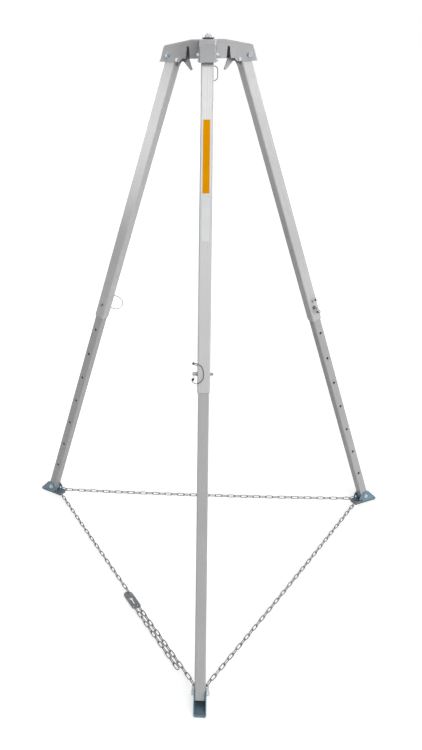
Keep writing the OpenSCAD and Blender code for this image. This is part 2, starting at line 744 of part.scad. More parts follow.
// Long link along X, lying in the XY plane
module link() {
    bend = (link_inner + link_wire)/2;
    half = link_long/2 - link_inner/2;
    for (s = [-1, 1]) {
        translate([s*half, 0, 0]) rotate([0, 0, -90*s]) rotate_extrude(angle = 180)
            translate([bend, 0]) circle(d = link_wire);
        translate([0, s*bend, 0]) rotate([0, 90, 0]) cylinder(d = link_wire, h = 2*half, center = true);
    }
}

// Frame of a run: from the shoe of leg i to the next shoe round, X along the run
module on_run(i) {
    from = turned(shoe_point(1, run_from), leg_angles[i]);
    to = turned(shoe_point(-1, run_from), leg_angles[i] + 120);
    translate([from[0], from[1], 0]) rotate([0, 0, atan2(to[1] - from[1], to[0] - from[0])]) children();
}

run_chord = norm(turned(shoe_point(-1, run_from), 120) - shoe_point(1, run_from));
run_step = run_chord/run_links;
function run_height(x) = chain_height - 4*chain_sag*(x/run_chord)*(1 - x/run_chord);
function run_pitch(x) = atan(4*chain_sag*(1 - 2*x/run_chord)/run_chord);

// Place the k-th link of a run; even links stand upright, odd ones lie flat
module run_link(k, side = 0) {
    x = (k + 0.5)*run_step;
    translate([x, side, run_height(x)]) rotate([0, run_pitch(x), 0]) rotate([k%2 == 0 ? 90 : 0, 0, 0]) link();
}

plate_index = 28;
plate_links = 3;
plate_half = (plate_links - 1)/2;

module chain_run(i, plate = -plate_links) {
    color(zinc) on_run(i) for (k = [0:run_links - 1]) if (abs(k - plate) > plate_half) run_link(k);
}

module chain_end_links(i) {
    color(zinc) at_foot(i) for (s = [-1, 1])
        translate([-end_bar - link_long/2 - link_wire/2, s*cheek_middle, 0])
            translate([0, 0, chain_height - foot_pivot_height]) link();
}

// Shortener: a plate that takes the place of three links, with a keyhole and a third eye for the spare links
module chain_shortener() {
    x = (plate_index + 0.5)*run_step;
    eye = 4.5;
    rim = 6;
    edge = eye + rim;
    place = plate_half*run_step + link_long/2 - eye;
    head = tail_side/2 + edge;
    keyhole = 14;
    key_slot = 5;
    key_long = 30;
    color(black) on_run(2) translate([x, 0, run_height(x)]) rotate([0, run_pitch(x), 0]) difference() {
        translate([0, 0, -1.5]) linear_extrude(3) {
            polygon([[-place + 6, -tail_side - edge], [place, -tail_side - edge], [place + edge, -tail_side],
                [place + edge, 0], [place, edge], [-place + 6, edge]]);
            translate([-place + 6, -tail_side/2]) circle(head);
            translate([place, 0]) circle(edge);
            translate([place, -tail_side]) circle(edge);
        }
        for (p = [[-place, 0], [place, 0], [place, -tail_side]])
            translate([p[0], p[1], -3]) cylinder(r = eye, h = 6);
        translate([-keyhole/2, -tail_side/2, -3]) {
            cylinder(d = keyhole, h = 6);
            translate([0, -key_slot/2, 0]) cube([key_long, key_slot, 6]);
            translate([key_long, 0, 0]) cylinder(d = key_slot + 2, h = 6);
        }
    }
}

module chain_tail() {
    first = plate_index + plate_half + 1;
    color(zinc) on_run(2) for (k = [0:tail_links - 1]) run_link(first + k, -tail_side);
}

// Screw sleeve on the quick link next to the right shoe
module quick_link_nut() {
    x = 0.5*run_step;
    bend = (link_inner + link_wire)/2;
    color(zinc) on_run(1) translate([x, 0, run_height(x)]) rotate([0, run_pitch(x), 0])
        translate([0, 0, bend]) rotate([0, 90, 0]) difference() {
        cylinder(d = 8/cos(30), h = 13, center = true, $fn = 6);
        cylinder(d = link_wire + 0.2, h = 15, center = true);
    }
}

// Wire rope guide on the side of the front leg
guide_wire = 3;
guide_high = 14;
guide_half = 26;

module rope_loop() {
    face = upper_size/2;
    bend = 13;
    color(black) at_leg(0) translate([0, face, -60]) rotate([90, 0, 90]) {
        for (s = [-1, 1]) {
            translate([0, s*guide_half, 0]) rotate([0, 90, 0])
                cylinder(d = guide_wire, h = guide_high - bend);
            translate([guide_high - bend, s*(guide_half - bend), 0]) rotate([0, 0, s > 0 ? 0 : -90])
                rotate_extrude(angle = 90) translate([bend, 0]) circle(d = guide_wire);
        }
        translate([guide_high, 0, 0]) rotate([90, 0, 0])
            cylinder(d = guide_wire, h = 2*(guide_half - bend), center = true);
    }
}

echo("least gap between the curls of a latch spring", spring_least);
echo("length of a lanyard", route_length(lanyard_line), "and of the left one", route_length(open_line));
echo("link length inside", link_long, "play", link_long - run_step);

head_housing();
anchor_eye();
anchor_washer();
anchor_dome_nut();
leg_pivot_bolts();
leg_pivot_nuts();
latch_bolts();
latch_nuts();
chain_run(0);  // chain_right
chain_run(1);  // chain_rear
chain_run(2, plate_index);  // chain_left
chain_tail();
chain_shortener();
quick_link_nut();
rope_loop();
upper_tube(0);  // upper_tube_front
upper_tube(1);  // upper_tube_right
upper_tube(2);  // upper_tube_left
pivot_bushes(0);  // pivot_bushes_front
pivot_bushes(1);  // pivot_bushes_right
pivot_bushes(2);  // pivot_bushes_left
lanyard_eyelet(0);  // lanyard_eyelet_front
lanyard_eyelet(1);  // lanyard_eyelet_right
lanyard_eyelet(2);  // lanyard_eyelet_left
lanyard(0);  // lanyard_front
lanyard(1);  // lanyard_right
lanyard(2);  // lanyard_left
lock_pin(0);  // lock_pin_front
lock_pin(1);  // lock_pin_right
lock_pin(2);  // lock_pin_left
pin_ferrule(0);  // pin_ferrule_front
pin_ferrule(1);  // pin_ferrule_right
pin_ferrule(2);  // pin_ferrule_left
latch_lever(0);  // latch_lever_front
latch_lever(1);  // latch_lever_right
latch_lever(2);  // latch_lever_left
latch_spring(0);  // latch_spring_front
latch_spring(1);  // latch_spring_right
latch_spring(2);  // latch_spring_left
lower_tube(0);  // lower_tube_front
lower_tube(1);  // lower_tube_right
lower_tube(2);  // lower_tube_left
foot_bolt(0);  // foot_bolt_front
foot_bolt(1);  // foot_bolt_right
foot_bolt(2);  // foot_bolt_left
foot_nut(0);  // foot_nut_front
foot_nut(1);  // foot_nut_right
foot_nut(2);  // foot_nut_left
foot_shoe(0);  // foot_shoe_front
foot_shoe(1);  // foot_shoe_right
foot_shoe(2);  // foot_shoe_left
foot_tread(0);  // foot_tread_front
foot_tread(1);  // foot_tread_right
foot_tread(2);  // foot_tread_left
chain_end_links(0);  // chain_end_links_front
chain_end_links(1);  // chain_end_links_right
chain_end_links(2);  // chain_end_links_left
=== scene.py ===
"""Rescue tripod: finishes, chain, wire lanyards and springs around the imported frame."""

import json
import logging
import math
from dataclasses import dataclass
from enum import Enum
from typing import Any, Callable, NamedTuple, Sequence

import bmesh
import bpy
from mathutils import Matrix, Vector

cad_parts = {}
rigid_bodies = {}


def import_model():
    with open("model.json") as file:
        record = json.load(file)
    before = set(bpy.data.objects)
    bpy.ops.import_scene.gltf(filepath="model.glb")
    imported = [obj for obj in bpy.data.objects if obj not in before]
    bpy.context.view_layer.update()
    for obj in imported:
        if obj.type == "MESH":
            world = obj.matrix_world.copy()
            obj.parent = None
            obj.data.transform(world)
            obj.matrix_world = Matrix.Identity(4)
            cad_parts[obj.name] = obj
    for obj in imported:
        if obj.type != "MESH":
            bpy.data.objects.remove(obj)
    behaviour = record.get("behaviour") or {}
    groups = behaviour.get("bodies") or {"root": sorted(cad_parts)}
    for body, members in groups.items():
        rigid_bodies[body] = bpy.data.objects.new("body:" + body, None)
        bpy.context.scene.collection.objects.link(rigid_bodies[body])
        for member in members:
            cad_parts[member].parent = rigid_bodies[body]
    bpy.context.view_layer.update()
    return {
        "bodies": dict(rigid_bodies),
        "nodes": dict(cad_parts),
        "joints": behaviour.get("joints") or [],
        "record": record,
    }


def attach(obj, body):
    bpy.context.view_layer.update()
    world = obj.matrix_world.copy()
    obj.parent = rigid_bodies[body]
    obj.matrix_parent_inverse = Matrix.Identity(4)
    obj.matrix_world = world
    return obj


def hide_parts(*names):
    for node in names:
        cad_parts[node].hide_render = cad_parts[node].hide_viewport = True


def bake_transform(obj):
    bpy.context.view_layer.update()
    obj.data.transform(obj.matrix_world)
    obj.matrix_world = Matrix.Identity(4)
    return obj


LOG = logging.getLogger("rescue_tripod")

# height of the picture in pixels, the unit of the camera's focus and shift, and the sensor in millimetres
FRAME_HIGH = 750.0
SENSOR = 36.0

# strands of the lanyard wire, and the length in which they turn round once
WIRE_STRANDS = 6
WIRE_LAY = 0.016

WHITE = (1.0, 1.0, 1.0, 1.0)
DIRT_COLOUR = (0.16, 0.14, 0.12, 1.0)
# painted shade in the grooves between a lanyard wire's strands
GROOVE_SHADE = (0.02, 0.02, 0.022, 1.0)

Triple = tuple[float, float, float]
Pair = tuple[float, float]
Socket = bpy.types.NodeSocket
Sockets = bpy.types.bpy_prop_collection


class Leg(Enum):
    """The three legs, with the direction of each from the centre line in degrees."""

    FRONT = ("front", -90.0)
    RIGHT = ("right", 30.0)
    LEFT = ("left", 150.0)

    @property
    def word(self) -> str:
        """Name that ends this leg's nodes and bodies."""
        return self.value[0]

    @property
    def turn(self) -> float:
        """Direction of the leg in radians."""
        return math.radians(self.value[1])

    @property
    def next(self) -> "Leg":
        """The next leg round, seen from above against the clock."""
        order = list(Leg)
        return order[(order.index(self) + 1) % len(order)]


@dataclass(frozen=True)
class Stance:
    """Sizes of the spread tripod, in metres, that the looks share with the solids."""

    lean: float = math.radians(19.5)
    leg_length: float = 2.220
    pivot_radius: float = 0.1605
    pivot_offset: float = 0.011
    foot_height: float = 0.040
    crown_rise: float = 0.057
    pin_place: float = 1.125
    upper_size: float = 0.045
    lower_size: float = 0.038
    latch_depth: float = 0.073
    latch_gap: float = 0.005
    hub_size: float = 0.012

    @property
    def pivot_height(self) -> float:
        """Height of the leg pivots above the floor."""
        return (self.foot_height + self.leg_length * math.cos(self.lean)
                + self.pivot_offset * math.sin(self.lean))

    @property
    def foot_radius(self) -> float:
        """Distance of the foot pivots from the centre line."""
        return (self.pivot_radius + self.leg_length * math.sin(self.lean)
                - self.pivot_offset * math.cos(self.lean))

    @property
    def latch_radius(self) -> float:
        """Distance of the latch bolts from the centre line.

        Returns:
            The distance in metres.
        """
        inner = self.upper_size / 2 + self.pivot_offset + self.hub_size / 2 + self.latch_gap
        fall = self.latch_depth - self.crown_rise
        return self.pivot_radius - (inner - fall * math.sin(self.lean)) / math.cos(self.lean)

    @property
    def tube_axis(self) -> float:
        """Distance of a tube's middle line from the part's origin, square to the line."""
        return (self.pivot_radius * math.cos(self.lean) + self.pivot_height * math.sin(self.lean)
                - self.pivot_offset)

    def at_leg(self, leg: Leg, along: float = 0.0) -> Matrix:
        """Frame on a tube's middle: X outwards, Y sideways, Z up along the leg.

        Args:
            leg: the leg.
            along: distance down the leg from its head pivot.

        Returns:
            The frame as a matrix into the part's own frame.
        """
        return (Matrix.Rotation(leg.turn, 4, "Z")
                @ Matrix.Translation((self.pivot_radius, 0.0, self.pivot_height))
                @ Matrix.Rotation(-self.lean, 4, "Y")
                @ Matrix.Translation((-self.pivot_offset, 0.0, -along)))

    def at_latch(self, leg: Leg) -> Matrix:
        """Frame on a latch bolt: X outwards, Y along the bolt, Z up."""
        high = self.pivot_height + self.crown_rise - self.latch_depth
        return Matrix.Rotation(leg.turn, 4, "Z") @ Matrix.Translation((self.latch_radius, 0.0, high))


# Meshes

def in_scene(name: str, data: bpy.types.ID) -> bpy.types.Object:
    """Put a mesh, camera or lamp in the scene.

    Args:
        name: name of the object.
        data: what it shows.

    Returns:
        The new object, at the origin.
    """
    thing = bpy.data.objects.new(name, data)
    bpy.context.scene.collection.objects.link(thing)
    return thing


def new_piece(name: str, mesh: bpy.types.Mesh,
              finish: bpy.types.Material | None = None) -> bpy.types.Object:
    """Put a mesh in the scene as a piece at the origin.

    Args:
        name: name of the piece.
        mesh: its mesh, already in place.
        finish: material of all its faces, if it has none yet.

    Returns:
        The new object.
    """
    mesh.name = name
    if finish is not None:
        mesh.materials.clear()
        mesh.materials.append(finish)
    return in_scene(name, mesh)


def mesh_of(work: bmesh.types.BMesh, name: str) -> bpy.types.Mesh:
    """Turn mesh work into a mesh, and free it.

    Args:
        work: the work.
        name: name of the mesh.

    Returns:
        The mesh.
    """
    mesh = bpy.data.meshes.new(name)
    work.to_mesh(mesh)
    work.free()
    return mesh


def swept(points: Sequence[Vector], radius: Callable[[float, float], float], sides: int, closed: bool,
          start: Vector) -> bpy.types.Mesh:
    """Sweep a round section along a line of points without twisting it.

    Args:
        points: the line's points.
        radius: radius of the section, from the distance along the line and the angle round it.
        sides: number of points round the section.
        closed: whether the line is a closed ring.
        start: direction that the section's first point leans to.

    Returns:
        A closed mesh with a UV map: U round the section, V along the line in metres.
    """
    count = len(points)
    work = bmesh.new()
    rings, travelled, along, side = [], [], 0.0, start
    for k, point in enumerate(points):
        ahead = points[(k + 1) % count] if closed or k + 1 < count else point
        behind = points[k - 1] if closed or k > 0 else point
        lead = (ahead - behind).normalized()
        along += (point - points[k - 1]).length if k else 0.0
        travelled.append(along)
        side = (side - lead * side.dot(lead)).normalized()
        other = lead.cross(side)
        ring = []
        for j in range(sides):
            angle = 2.0 * math.pi * j / sides
            out = radius(along, angle)
            spoke = side * (out * math.cos(angle)) + other * (out * math.sin(angle))
            ring.append(work.verts.new(point + spoke))
        rings.append(ring)
    layer = work.loops.layers.uv.new("UVMap")
    for k in range(count if closed else count - 1):
        first, second = rings[k], rings[(k + 1) % count]
        low = travelled[k]
        high = travelled[k + 1] if k + 1 < count else low + (points[0] - points[-1]).length
        for j in range(sides):
            face = work.faces.new((first[j], first[(j + 1) % sides], second[(j + 1) % sides], second[j]))
            face.smooth = True
            for loop, place in zip(face.loops, ((j, low), (j + 1, low), (j + 1, high), (j, high))):
                loop[layer].uv = (place[0] / sides, place[1])
    if not closed:
        work.faces.new(list(reversed(rings[0])))
        work.faces.new(rings[-1])
    return mesh_of(work, "swept")


def curve_through(route: Sequence[Vector], parts: int) -> list[Vector]:
    """Smooth curve through a route's points.

    Args:
        route: the points.
        parts: number of parts to each stretch between two of them.

    Returns:
        The curve's points, from the route's first to its last.
    """
    last = len(route) - 1
    line = []
    for k in range(last):
        a, b, c, d = route[max(k - 1, 0)], route[k], route[k + 1], route[min(k + 2, last)]
        for j in range(parts):
            t = j / parts
            line.append(0.5 * (2.0 * b + (c - a) * t + (2.0 * a - 5.0 * b + 4.0 * c - d) * t * t
                               + (3.0 * b - a - 3.0 * c + d) * t * t * t))
    return line + [route[-1].copy()]


def line_length(line: Sequence[Vector]) -> float:
    """Length of a line of points."""
    return sum((b - a).length for a, b in zip(line, line[1:]))


# Node trees

class Graph:
    """Adds nodes to a tree and joins them."""

    def __init__(self, tree: bpy.types.NodeTree) -> None:
        """Keep the tree that the nodes go into."""
        self.tree = tree

    def add(self, kind: str, settings: dict[str, Any] | None = None, **inputs: Any) -> bpy.types.Node:
        """Add a node.

        Args:
            kind: the node's type name.
            settings: its properties.
            inputs: values or sockets for its inputs, by name with underscores for spaces, or by n and
                a number.

        Returns:
            The node.
        """
        node = self.tree.nodes.new(kind)
        for name, value in (settings or {}).items():
            setattr(node, name, value)
        for name, value in inputs.items():
            numbered = name[0] == "n" and name[1:].isdigit()
            key = int(name[1:]) if numbered else name.replace("_", " ")
            self.put(node.inputs[key], value)
        return node

    def put(self, socket: Socket, value: Any) -> None:
        """Join a socket to an input, or set the input's value.

        Args:
            socket: the input.
            value: another node's output, or a plain value.
        """
        if isinstance(value, Socket):
            self.tree.links.new(value, socket)
        else:
            socket.default_value = value

    def math(self, operation: str, *values: Any) -> Socket:
        """Add a Math node.

        Args:
            operation: what it works out.
            values: values or sockets for its inputs, in order.

        Returns:
            Its result.
        """
        node = self.add("ShaderNodeMath", {"operation": operation})
        for socket, value in zip(node.inputs, values):
            self.put(socket, value)
        return node.outputs[0]

    def measure(self, operation: str, first: Any, second: Any) -> Socket:
        """A number from two vectors, such as their distance."""
        node = self.add("ShaderNodeVectorMath", {"operation": operation}, n0=first, n1=second)
        return node.outputs["Value"]

    def spread(self, value: Socket, low: float, high: float, span: Pair = (0.0, 1.0)) -> Socket:
        """The value mapped from its own span to the span from low to high."""
        node = self.add("ShaderNodeMapRange", Value=value, From_Min=span[0], From_Max=span[1], To_Min=low,
                        To_Max=high)
        return node.outputs["Result"]

    def within(self, value: Socket, edge: float, border: float) -> Socket:
        """A mask: 1 where the value is under the edge and 0 beyond it, with a soft border."""
        return self.spread(value, 1.0, 0.0, (edge - border, edge + border))

    def blend(self, share: Any, first: Any, second: Any) -> Socket:
        """Mix two colours.

        Args:
            share: share of the second colour.
            first: the first colour.
            second: the second colour.

        Returns:
            The mixed colour.
        """
        node = self.add("ShaderNodeMix", {"data_type": "RGBA", "blend_type": "MIX"})
        # the node has a set of sockets for each kind of data, and these are the colours' own
        for number, value in ((0, share), (6, first), (7, second)):
            self.put(node.inputs[number], value)
        return node.outputs[2]

    def place(self, kind: str = "Object") -> Socket:
        """Texture coordinates of one kind."""
        return self.add("ShaderNodeTexCoord").outputs[kind]

    def noise(self, vector: Socket, scale: Any, detail: float) -> Socket:
        """Values from 0 to 1 of a noise texture."""
        return self.add("ShaderNodeTexNoise", Vector=vector, Scale=scale, Detail=detail).outputs["Fac"]

    def split(self, vector: Socket) -> Sockets:
        """X, Y and Z of a vector."""
        return self.add("ShaderNodeSeparateXYZ", Vector=vector).outputs

    def vector(self, **axes: Any) -> Socket:
        """A vector from its X, Y and Z."""
        return self.add("ShaderNodeCombineXYZ", **axes).outputs[0]


def new_group(name: str, inputs: dict[str, str], outputs: dict[str, str],
              kind: str = "ShaderNodeTree") -> tuple[Graph, Sockets, Sockets]:
    """Start a node group.

    Args:
        name: the group's name.
        inputs: name and kind of each input.
        outputs: name and kind of each output.
        kind: the group's type name.

    Returns:
        Its graph, the sockets that its inputs come from and the sockets that its outputs go to.
    """
    tree = bpy.data.node_groups.new(name, kind)
    for way, words in (("INPUT", inputs), ("OUTPUT", outputs)):
        for word, socket in words.items():
            tree.interface.new_socket(word, in_out=way, socket_type="NodeSocket" + socket)
    graph = Graph(tree)
    return graph, graph.add("NodeGroupInput").outputs, graph.add("NodeGroupOutput").inputs


class Effects:
    """Shader effects that several finishes share, each a node group made once."""

    CLOUD_SPAN = (0.32, 0.68)
    SPECKLE_SPAN = (0.3, 0.7)
    SPECKLE_BUMP = 0.0004
    FINE_LINES = (1500.0, 1500.0, 5.0)
    BROAD_LINES = (260.0, 260.0, 0.6)
    FINE_SHARE = 0.55
    BROAD_SHARE = 0.45
    LINE_SPAN = (0.35, 0.65)
    LINE_BUMP = 0.0003
    EDGE_SPAN = (0.75, 0.985)
    EDGE_SAMPLES = 4
    DIRT_HEIGHT = 0.08
    DIRT_SCALE = 45.0
    DIRT_SPAN = (0.35, 0.65)

    def __init__(self) -> None:
        """Build the groups."""
        self.mottle = self._mottle()
        self.drawn = self._drawn()
        self.edges = self._edges()
        self.grime = self._grime()

    def _mottle(self) -> bpy.types.NodeTree:
        """Cloudy patches and fine speckle, as two values from 0 to 1, with a bump of the speckle.

        Returns:
            The group.
        """
        graph, given, out = new_group(
            "cloud_and_speckle",
            {"Cloud Scale": "Float", "Speckle Scale": "Float", "Depth": "Float", "Normal": "Vector"},
            {"Cloud": "Float", "Speckle": "Float", "Normal": "Vector"})
        place = graph.place()
        cloud = graph.noise(place, given["Cloud Scale"], detail=3.0)
        speckle = graph.noise(place, given["Speckle Scale"], detail=1.0)
        bump = graph.add("ShaderNodeBump", Strength=given["Depth"], Distance=self.SPECKLE_BUMP,
                         Height=speckle, Normal=given["Normal"])
        graph.put(out["Cloud"], graph.spread(cloud, 0.0, 1.0, self.CLOUD_SPAN))
        graph.put(out["Speckle"], graph.spread(speckle, 0.0, 1.0, self.SPECKLE_SPAN))
        graph.put(out["Normal"], bump.outputs["Normal"])
        return graph.tree

    def _drawn(self) -> bpy.types.NodeTree:
        """Fine lines that drawing through a die leaves along a tube; Z of the vector runs along it.

        Returns:
            The group.
        """
        graph, given, out = new_group(
            "die_lines", {"Vector": "Vector", "Depth": "Float", "Normal": "Vector"},
            {"Lines": "Float", "Normal": "Vector"})
        shares = []
        for scale, share in ((self.FINE_LINES, self.FINE_SHARE), (self.BROAD_LINES, self.BROAD_SHARE)):
            drawn_out = graph.add("ShaderNodeMapping", Vector=given["Vector"], Scale=scale).outputs[0]
            noise = graph.noise(drawn_out, scale=1.0, detail=2.0)
            shares.append(graph.math("MULTIPLY", noise, share))
        lines = graph.math("ADD", *shares)
        bump = graph.add("ShaderNodeBump", Strength=given["Depth"], Distance=self.LINE_BUMP, Height=lines,
                         Normal=given["Normal"])
        graph.put(out["Lines"], graph.spread(lines, 0.0, 1.0, self.LINE_SPAN))
        graph.put(out["Normal"], bump.outputs["Normal"])
        return graph.tree

    def _edges(self) -> bpy.types.NodeTree:
        """Softened edges: a normal that turns over each edge, and a mask of the edges themselves.

        Returns:
            The group.
        """
        graph, given, out = new_group("soft_edges", {"Radius": "Float"},
                                      {"Edge": "Float", "Normal": "Vector"})
        bevel = graph.add("ShaderNodeBevel", {"samples": self.EDGE_SAMPLES}, Radius=given["Radius"])
        flat = graph.add("ShaderNodeNewGeometry")
        same = graph.measure("DOT_PRODUCT", bevel.outputs["Normal"], flat.outputs["Normal"])
        graph.put(out["Edge"], graph.spread(same, 1.0, 0.0, self.EDGE_SPAN))
        graph.put(out["Normal"], bevel.outputs["Normal"])
        return graph.tree

    def _grime(self) -> bpy.types.NodeTree:
        """Dirt that gathers near the floor, as a mask from 0 to 1 that fades upwards.

        Returns:
            The group.
        """
        graph, given, out = new_group("floor_dirt", {"Share": "Float"}, {"Dirt": "Float"})
        place = graph.place()
        noise = graph.noise(place, self.DIRT_SCALE, detail=5.0)
        patches = graph.spread(noise, 0.0, 1.0, self.DIRT_SPAN)
        fade = graph.math("SUBTRACT", 1.0, graph.math("DIVIDE", graph.split(place)["Z"], self.DIRT_HEIGHT))
        low = graph.add("ShaderNodeClamp", Value=fade).outputs[0]
        graph.put(out["Dirt"], graph.math("MULTIPLY", graph.math("MULTIPLY", low, given["Share"]), patches))
        return graph.tree


# Finishes

@dataclass
class Skin:
    """A material in the making: its graph, and the sockets that its finish works on."""

    material: bpy.types.Material
    graph: Graph
    colour: Socket
    cloud: Socket
    normal: Socket

    def join(self, rough: Socket, metallic: Socket | None = None) -> bpy.types.Material:
        """Join the sockets to the shader.

        Args:
            rough: the roughness.
            metallic: the metal mask, where it changes over the surface.

        Returns:
            The material.
        """
        shader = self.material.node_tree.nodes["Principled BSDF"]
        self.graph.put(shader.inputs["Base Color"], self.colour)
        self.graph.put(shader.inputs["Roughness"], rough)
        self.graph.put(shader.inputs["Normal"], self.normal)
        if metallic is not None:
            self.graph.put(shader.inputs["Metallic"], metallic)
        return self.material


@dataclass(frozen=True)
class Finish:
    """A finish: plain shader values, and how far each shared effect changes it over the surface."""

    name: str
    colour: Triple
    second: Triple
    metallic: float
    rough: Pair
    cloud_scale: float = 60.0
    speckle_scale: float = 1600.0
    speckle_depth: float = 0.1
    edge_radius: float = 0.0005
    edge_colour: Triple | None = None
    dirt: float = 0.0
    specular: float = 0.5
    cloud_share: float = 0.7
    speckle_share: float = 0.3

    def skin(self, effects: Effects) -> Skin:
        """Start the material with its edges, clouds and speckle.

        Args:
            effects: the shared node groups.

        Returns:
            The material in the making.
        """
        material = bpy.data.materials.new(self.name)
        material.use_nodes = True
        material.diffuse_color = (*self.colour, 1.0)
        graph = Graph(material.node_tree)
        shader = material.node_tree.nodes["Principled BSDF"]
        shader.inputs["Metallic"].default_value = self.metallic
        shader.inputs["Specular IOR Level"].default_value = self.specular
        soft = graph.add("ShaderNodeGroup", {"node_tree": effects.edges}, Radius=self.edge_radius)
        mottle = graph.add("ShaderNodeGroup", {"node_tree": effects.mottle}, Cloud_Scale=self.cloud_scale,
                           Speckle_Scale=self.speckle_scale, Depth=self.speckle_depth,
                           Normal=soft.outputs["Normal"])
        share = graph.math("ADD", graph.math("MULTIPLY", mottle.outputs["Cloud"], self.cloud_share),
                           graph.math("MULTIPLY", mottle.outputs["Speckle"], self.speckle_share))
        colour = graph.blend(share, (*self.colour, 1.0), (*self.second, 1.0))
        # a colour along the edges; on the chain it is a painted highlight
        if self.edge_colour is not None:
            colour = graph.blend(soft.outputs["Edge"], colour, (*self.edge_colour, 1.0))
        if self.dirt > 0.0:
            dirt = graph.add("ShaderNodeGroup", {"node_tree": effects.grime}, Share=self.dirt)
            colour = graph.blend(dirt.outputs["Dirt"], colour, DIRT_COLOUR)
        return Skin(material, graph, colour, mottle.outputs["Cloud"], mottle.outputs["Normal"])

    def roughness(self, skin: Skin) -> Socket:
        """Roughness that changes with the clouds."""
        return skin.graph.spread(skin.cloud, *self.rough)

    def metal_outside(self, graph: Graph, mask: Socket) -> Socket:
        """Metal mask of a finish that is bare outside a mask."""
        return graph.math("MULTIPLY", graph.math("SUBTRACT", 1.0, mask), self.metallic)

    def build(self, effects: Effects) -> bpy.types.Material:
        """Make the material."""
        skin = self.skin(effects)
        return skin.join(self.roughness(skin))


@dataclass(frozen=True)
class DrawnFinish(Finish):
    """Drawn aluminium: die lines that run along one leg, and painted shade, near black, inside the tube."""

    turn: float = 0.0
    lean: float = 0.0
    axis: float = 0.0
    bore: float = 0.0
    # painted shade: the near-black colour of all that lies deeper than the tube's skin, in the bore and the
    # holes
    raw: Triple = (0.02, 0.02, 0.021)
    border: float = 0.0002
    line_depth: float = 0.12
    line_tint: float = 0.35
    line_rough: float = 0.07

    def build(self, effects: Effects) -> bpy.types.Material:
        """Make the material with its lines along the leg and its painted shade inside.

        Args:
            effects: the shared node groups.

        Returns:
            The material.
        """
        skin = self.skin(effects)
        graph = skin.graph
        level = graph.add("ShaderNodeMapping", Vector=graph.place(), Rotation=(0.0, 0.0, -self.turn))
        upright = graph.add("ShaderNodeMapping", Vector=level.outputs[0], Rotation=(0.0, self.lean, 0.0))
        along = upright.outputs[0]
        drawn = graph.add("ShaderNodeGroup", {"node_tree": effects.drawn}, Vector=along,
                          Depth=self.line_depth, Normal=skin.normal)
        lines = drawn.outputs["Lines"]
        tint = graph.math("MULTIPLY", lines, self.line_tint)
        colour = graph.blend(tint, skin.colour, (*self.second, 1.0))
        axes = graph.split(along)
        out = graph.math("ABSOLUTE", graph.math("SUBTRACT", axes["X"], self.axis))
        off = graph.math("MAXIMUM", out, graph.math("ABSOLUTE", axes["Y"]))
        # painted shade: near black and without metal, deeper than the skin of the tube
        inside = graph.within(off, self.bore, self.border)
        skin.colour = graph.blend(inside, colour, (*self.raw, 1.0))
        skin.normal = drawn.outputs["Normal"]
        rough = graph.math("ADD", self.roughness(skin), graph.math("MULTIPLY", lines, self.line_rough))
        return skin.join(rough, self.metal_outside(graph, inside))


@dataclass(frozen=True)
class WireFinish(Finish):
    """Stranded wire: painted shade in the grooves between strands, which follow the piece's own UV map."""

    groove_width: float = 0.45

    def build(self, effects: Effects) -> bpy.types.Material:
        """Make the material with its strands.

        Args:
            effects: the shared node groups.

        Returns:
            The material.
        """
        skin = self.skin(effects)
        graph = skin.graph
        axes = graph.split(graph.place("UV"))
        phase = graph.math("SUBTRACT", axes["X"], graph.math("DIVIDE", axes["Y"], WIRE_LAY))
        wave = graph.math("SINE", graph.math("MULTIPLY", phase, math.pi * WIRE_STRANDS))
        groove = graph.spread(graph.math("ABSOLUTE", wave), 1.0, 0.0, (0.0, self.groove_width))
        # painted shade in the grooves between strands
        skin.colour = graph.blend(groove, skin.colour, GROOVE_SHADE)
        return skin.join(graph.spread(groove, *self.rough))


@dataclass(frozen=True)
class BallFinish(Finish):
    """Plated ring that carries a black crimped ball at one place."""

    centre: Triple = (0.0, 0.0, 0.0)
    reach: float = 0.005
    border: float = 0.0001
    ball: Triple = (0.012, 0.012, 0.013)

    def build(self, effects: Effects) -> bpy.types.Material:
        """Make the material with its ball.

        Args:
            effects: the shared node groups.

        Returns:
            The material.
        """
        skin = self.skin(effects)
        graph = skin.graph
        away = graph.measure("DISTANCE", graph.place(), self.centre)
        black = graph.within(away, self.reach, self.border)
        skin.colour = graph.blend(black, skin.colour, (*self.ball, 1.0))
        return skin.join(self.roughness(skin), self.metal_outside(graph, black))


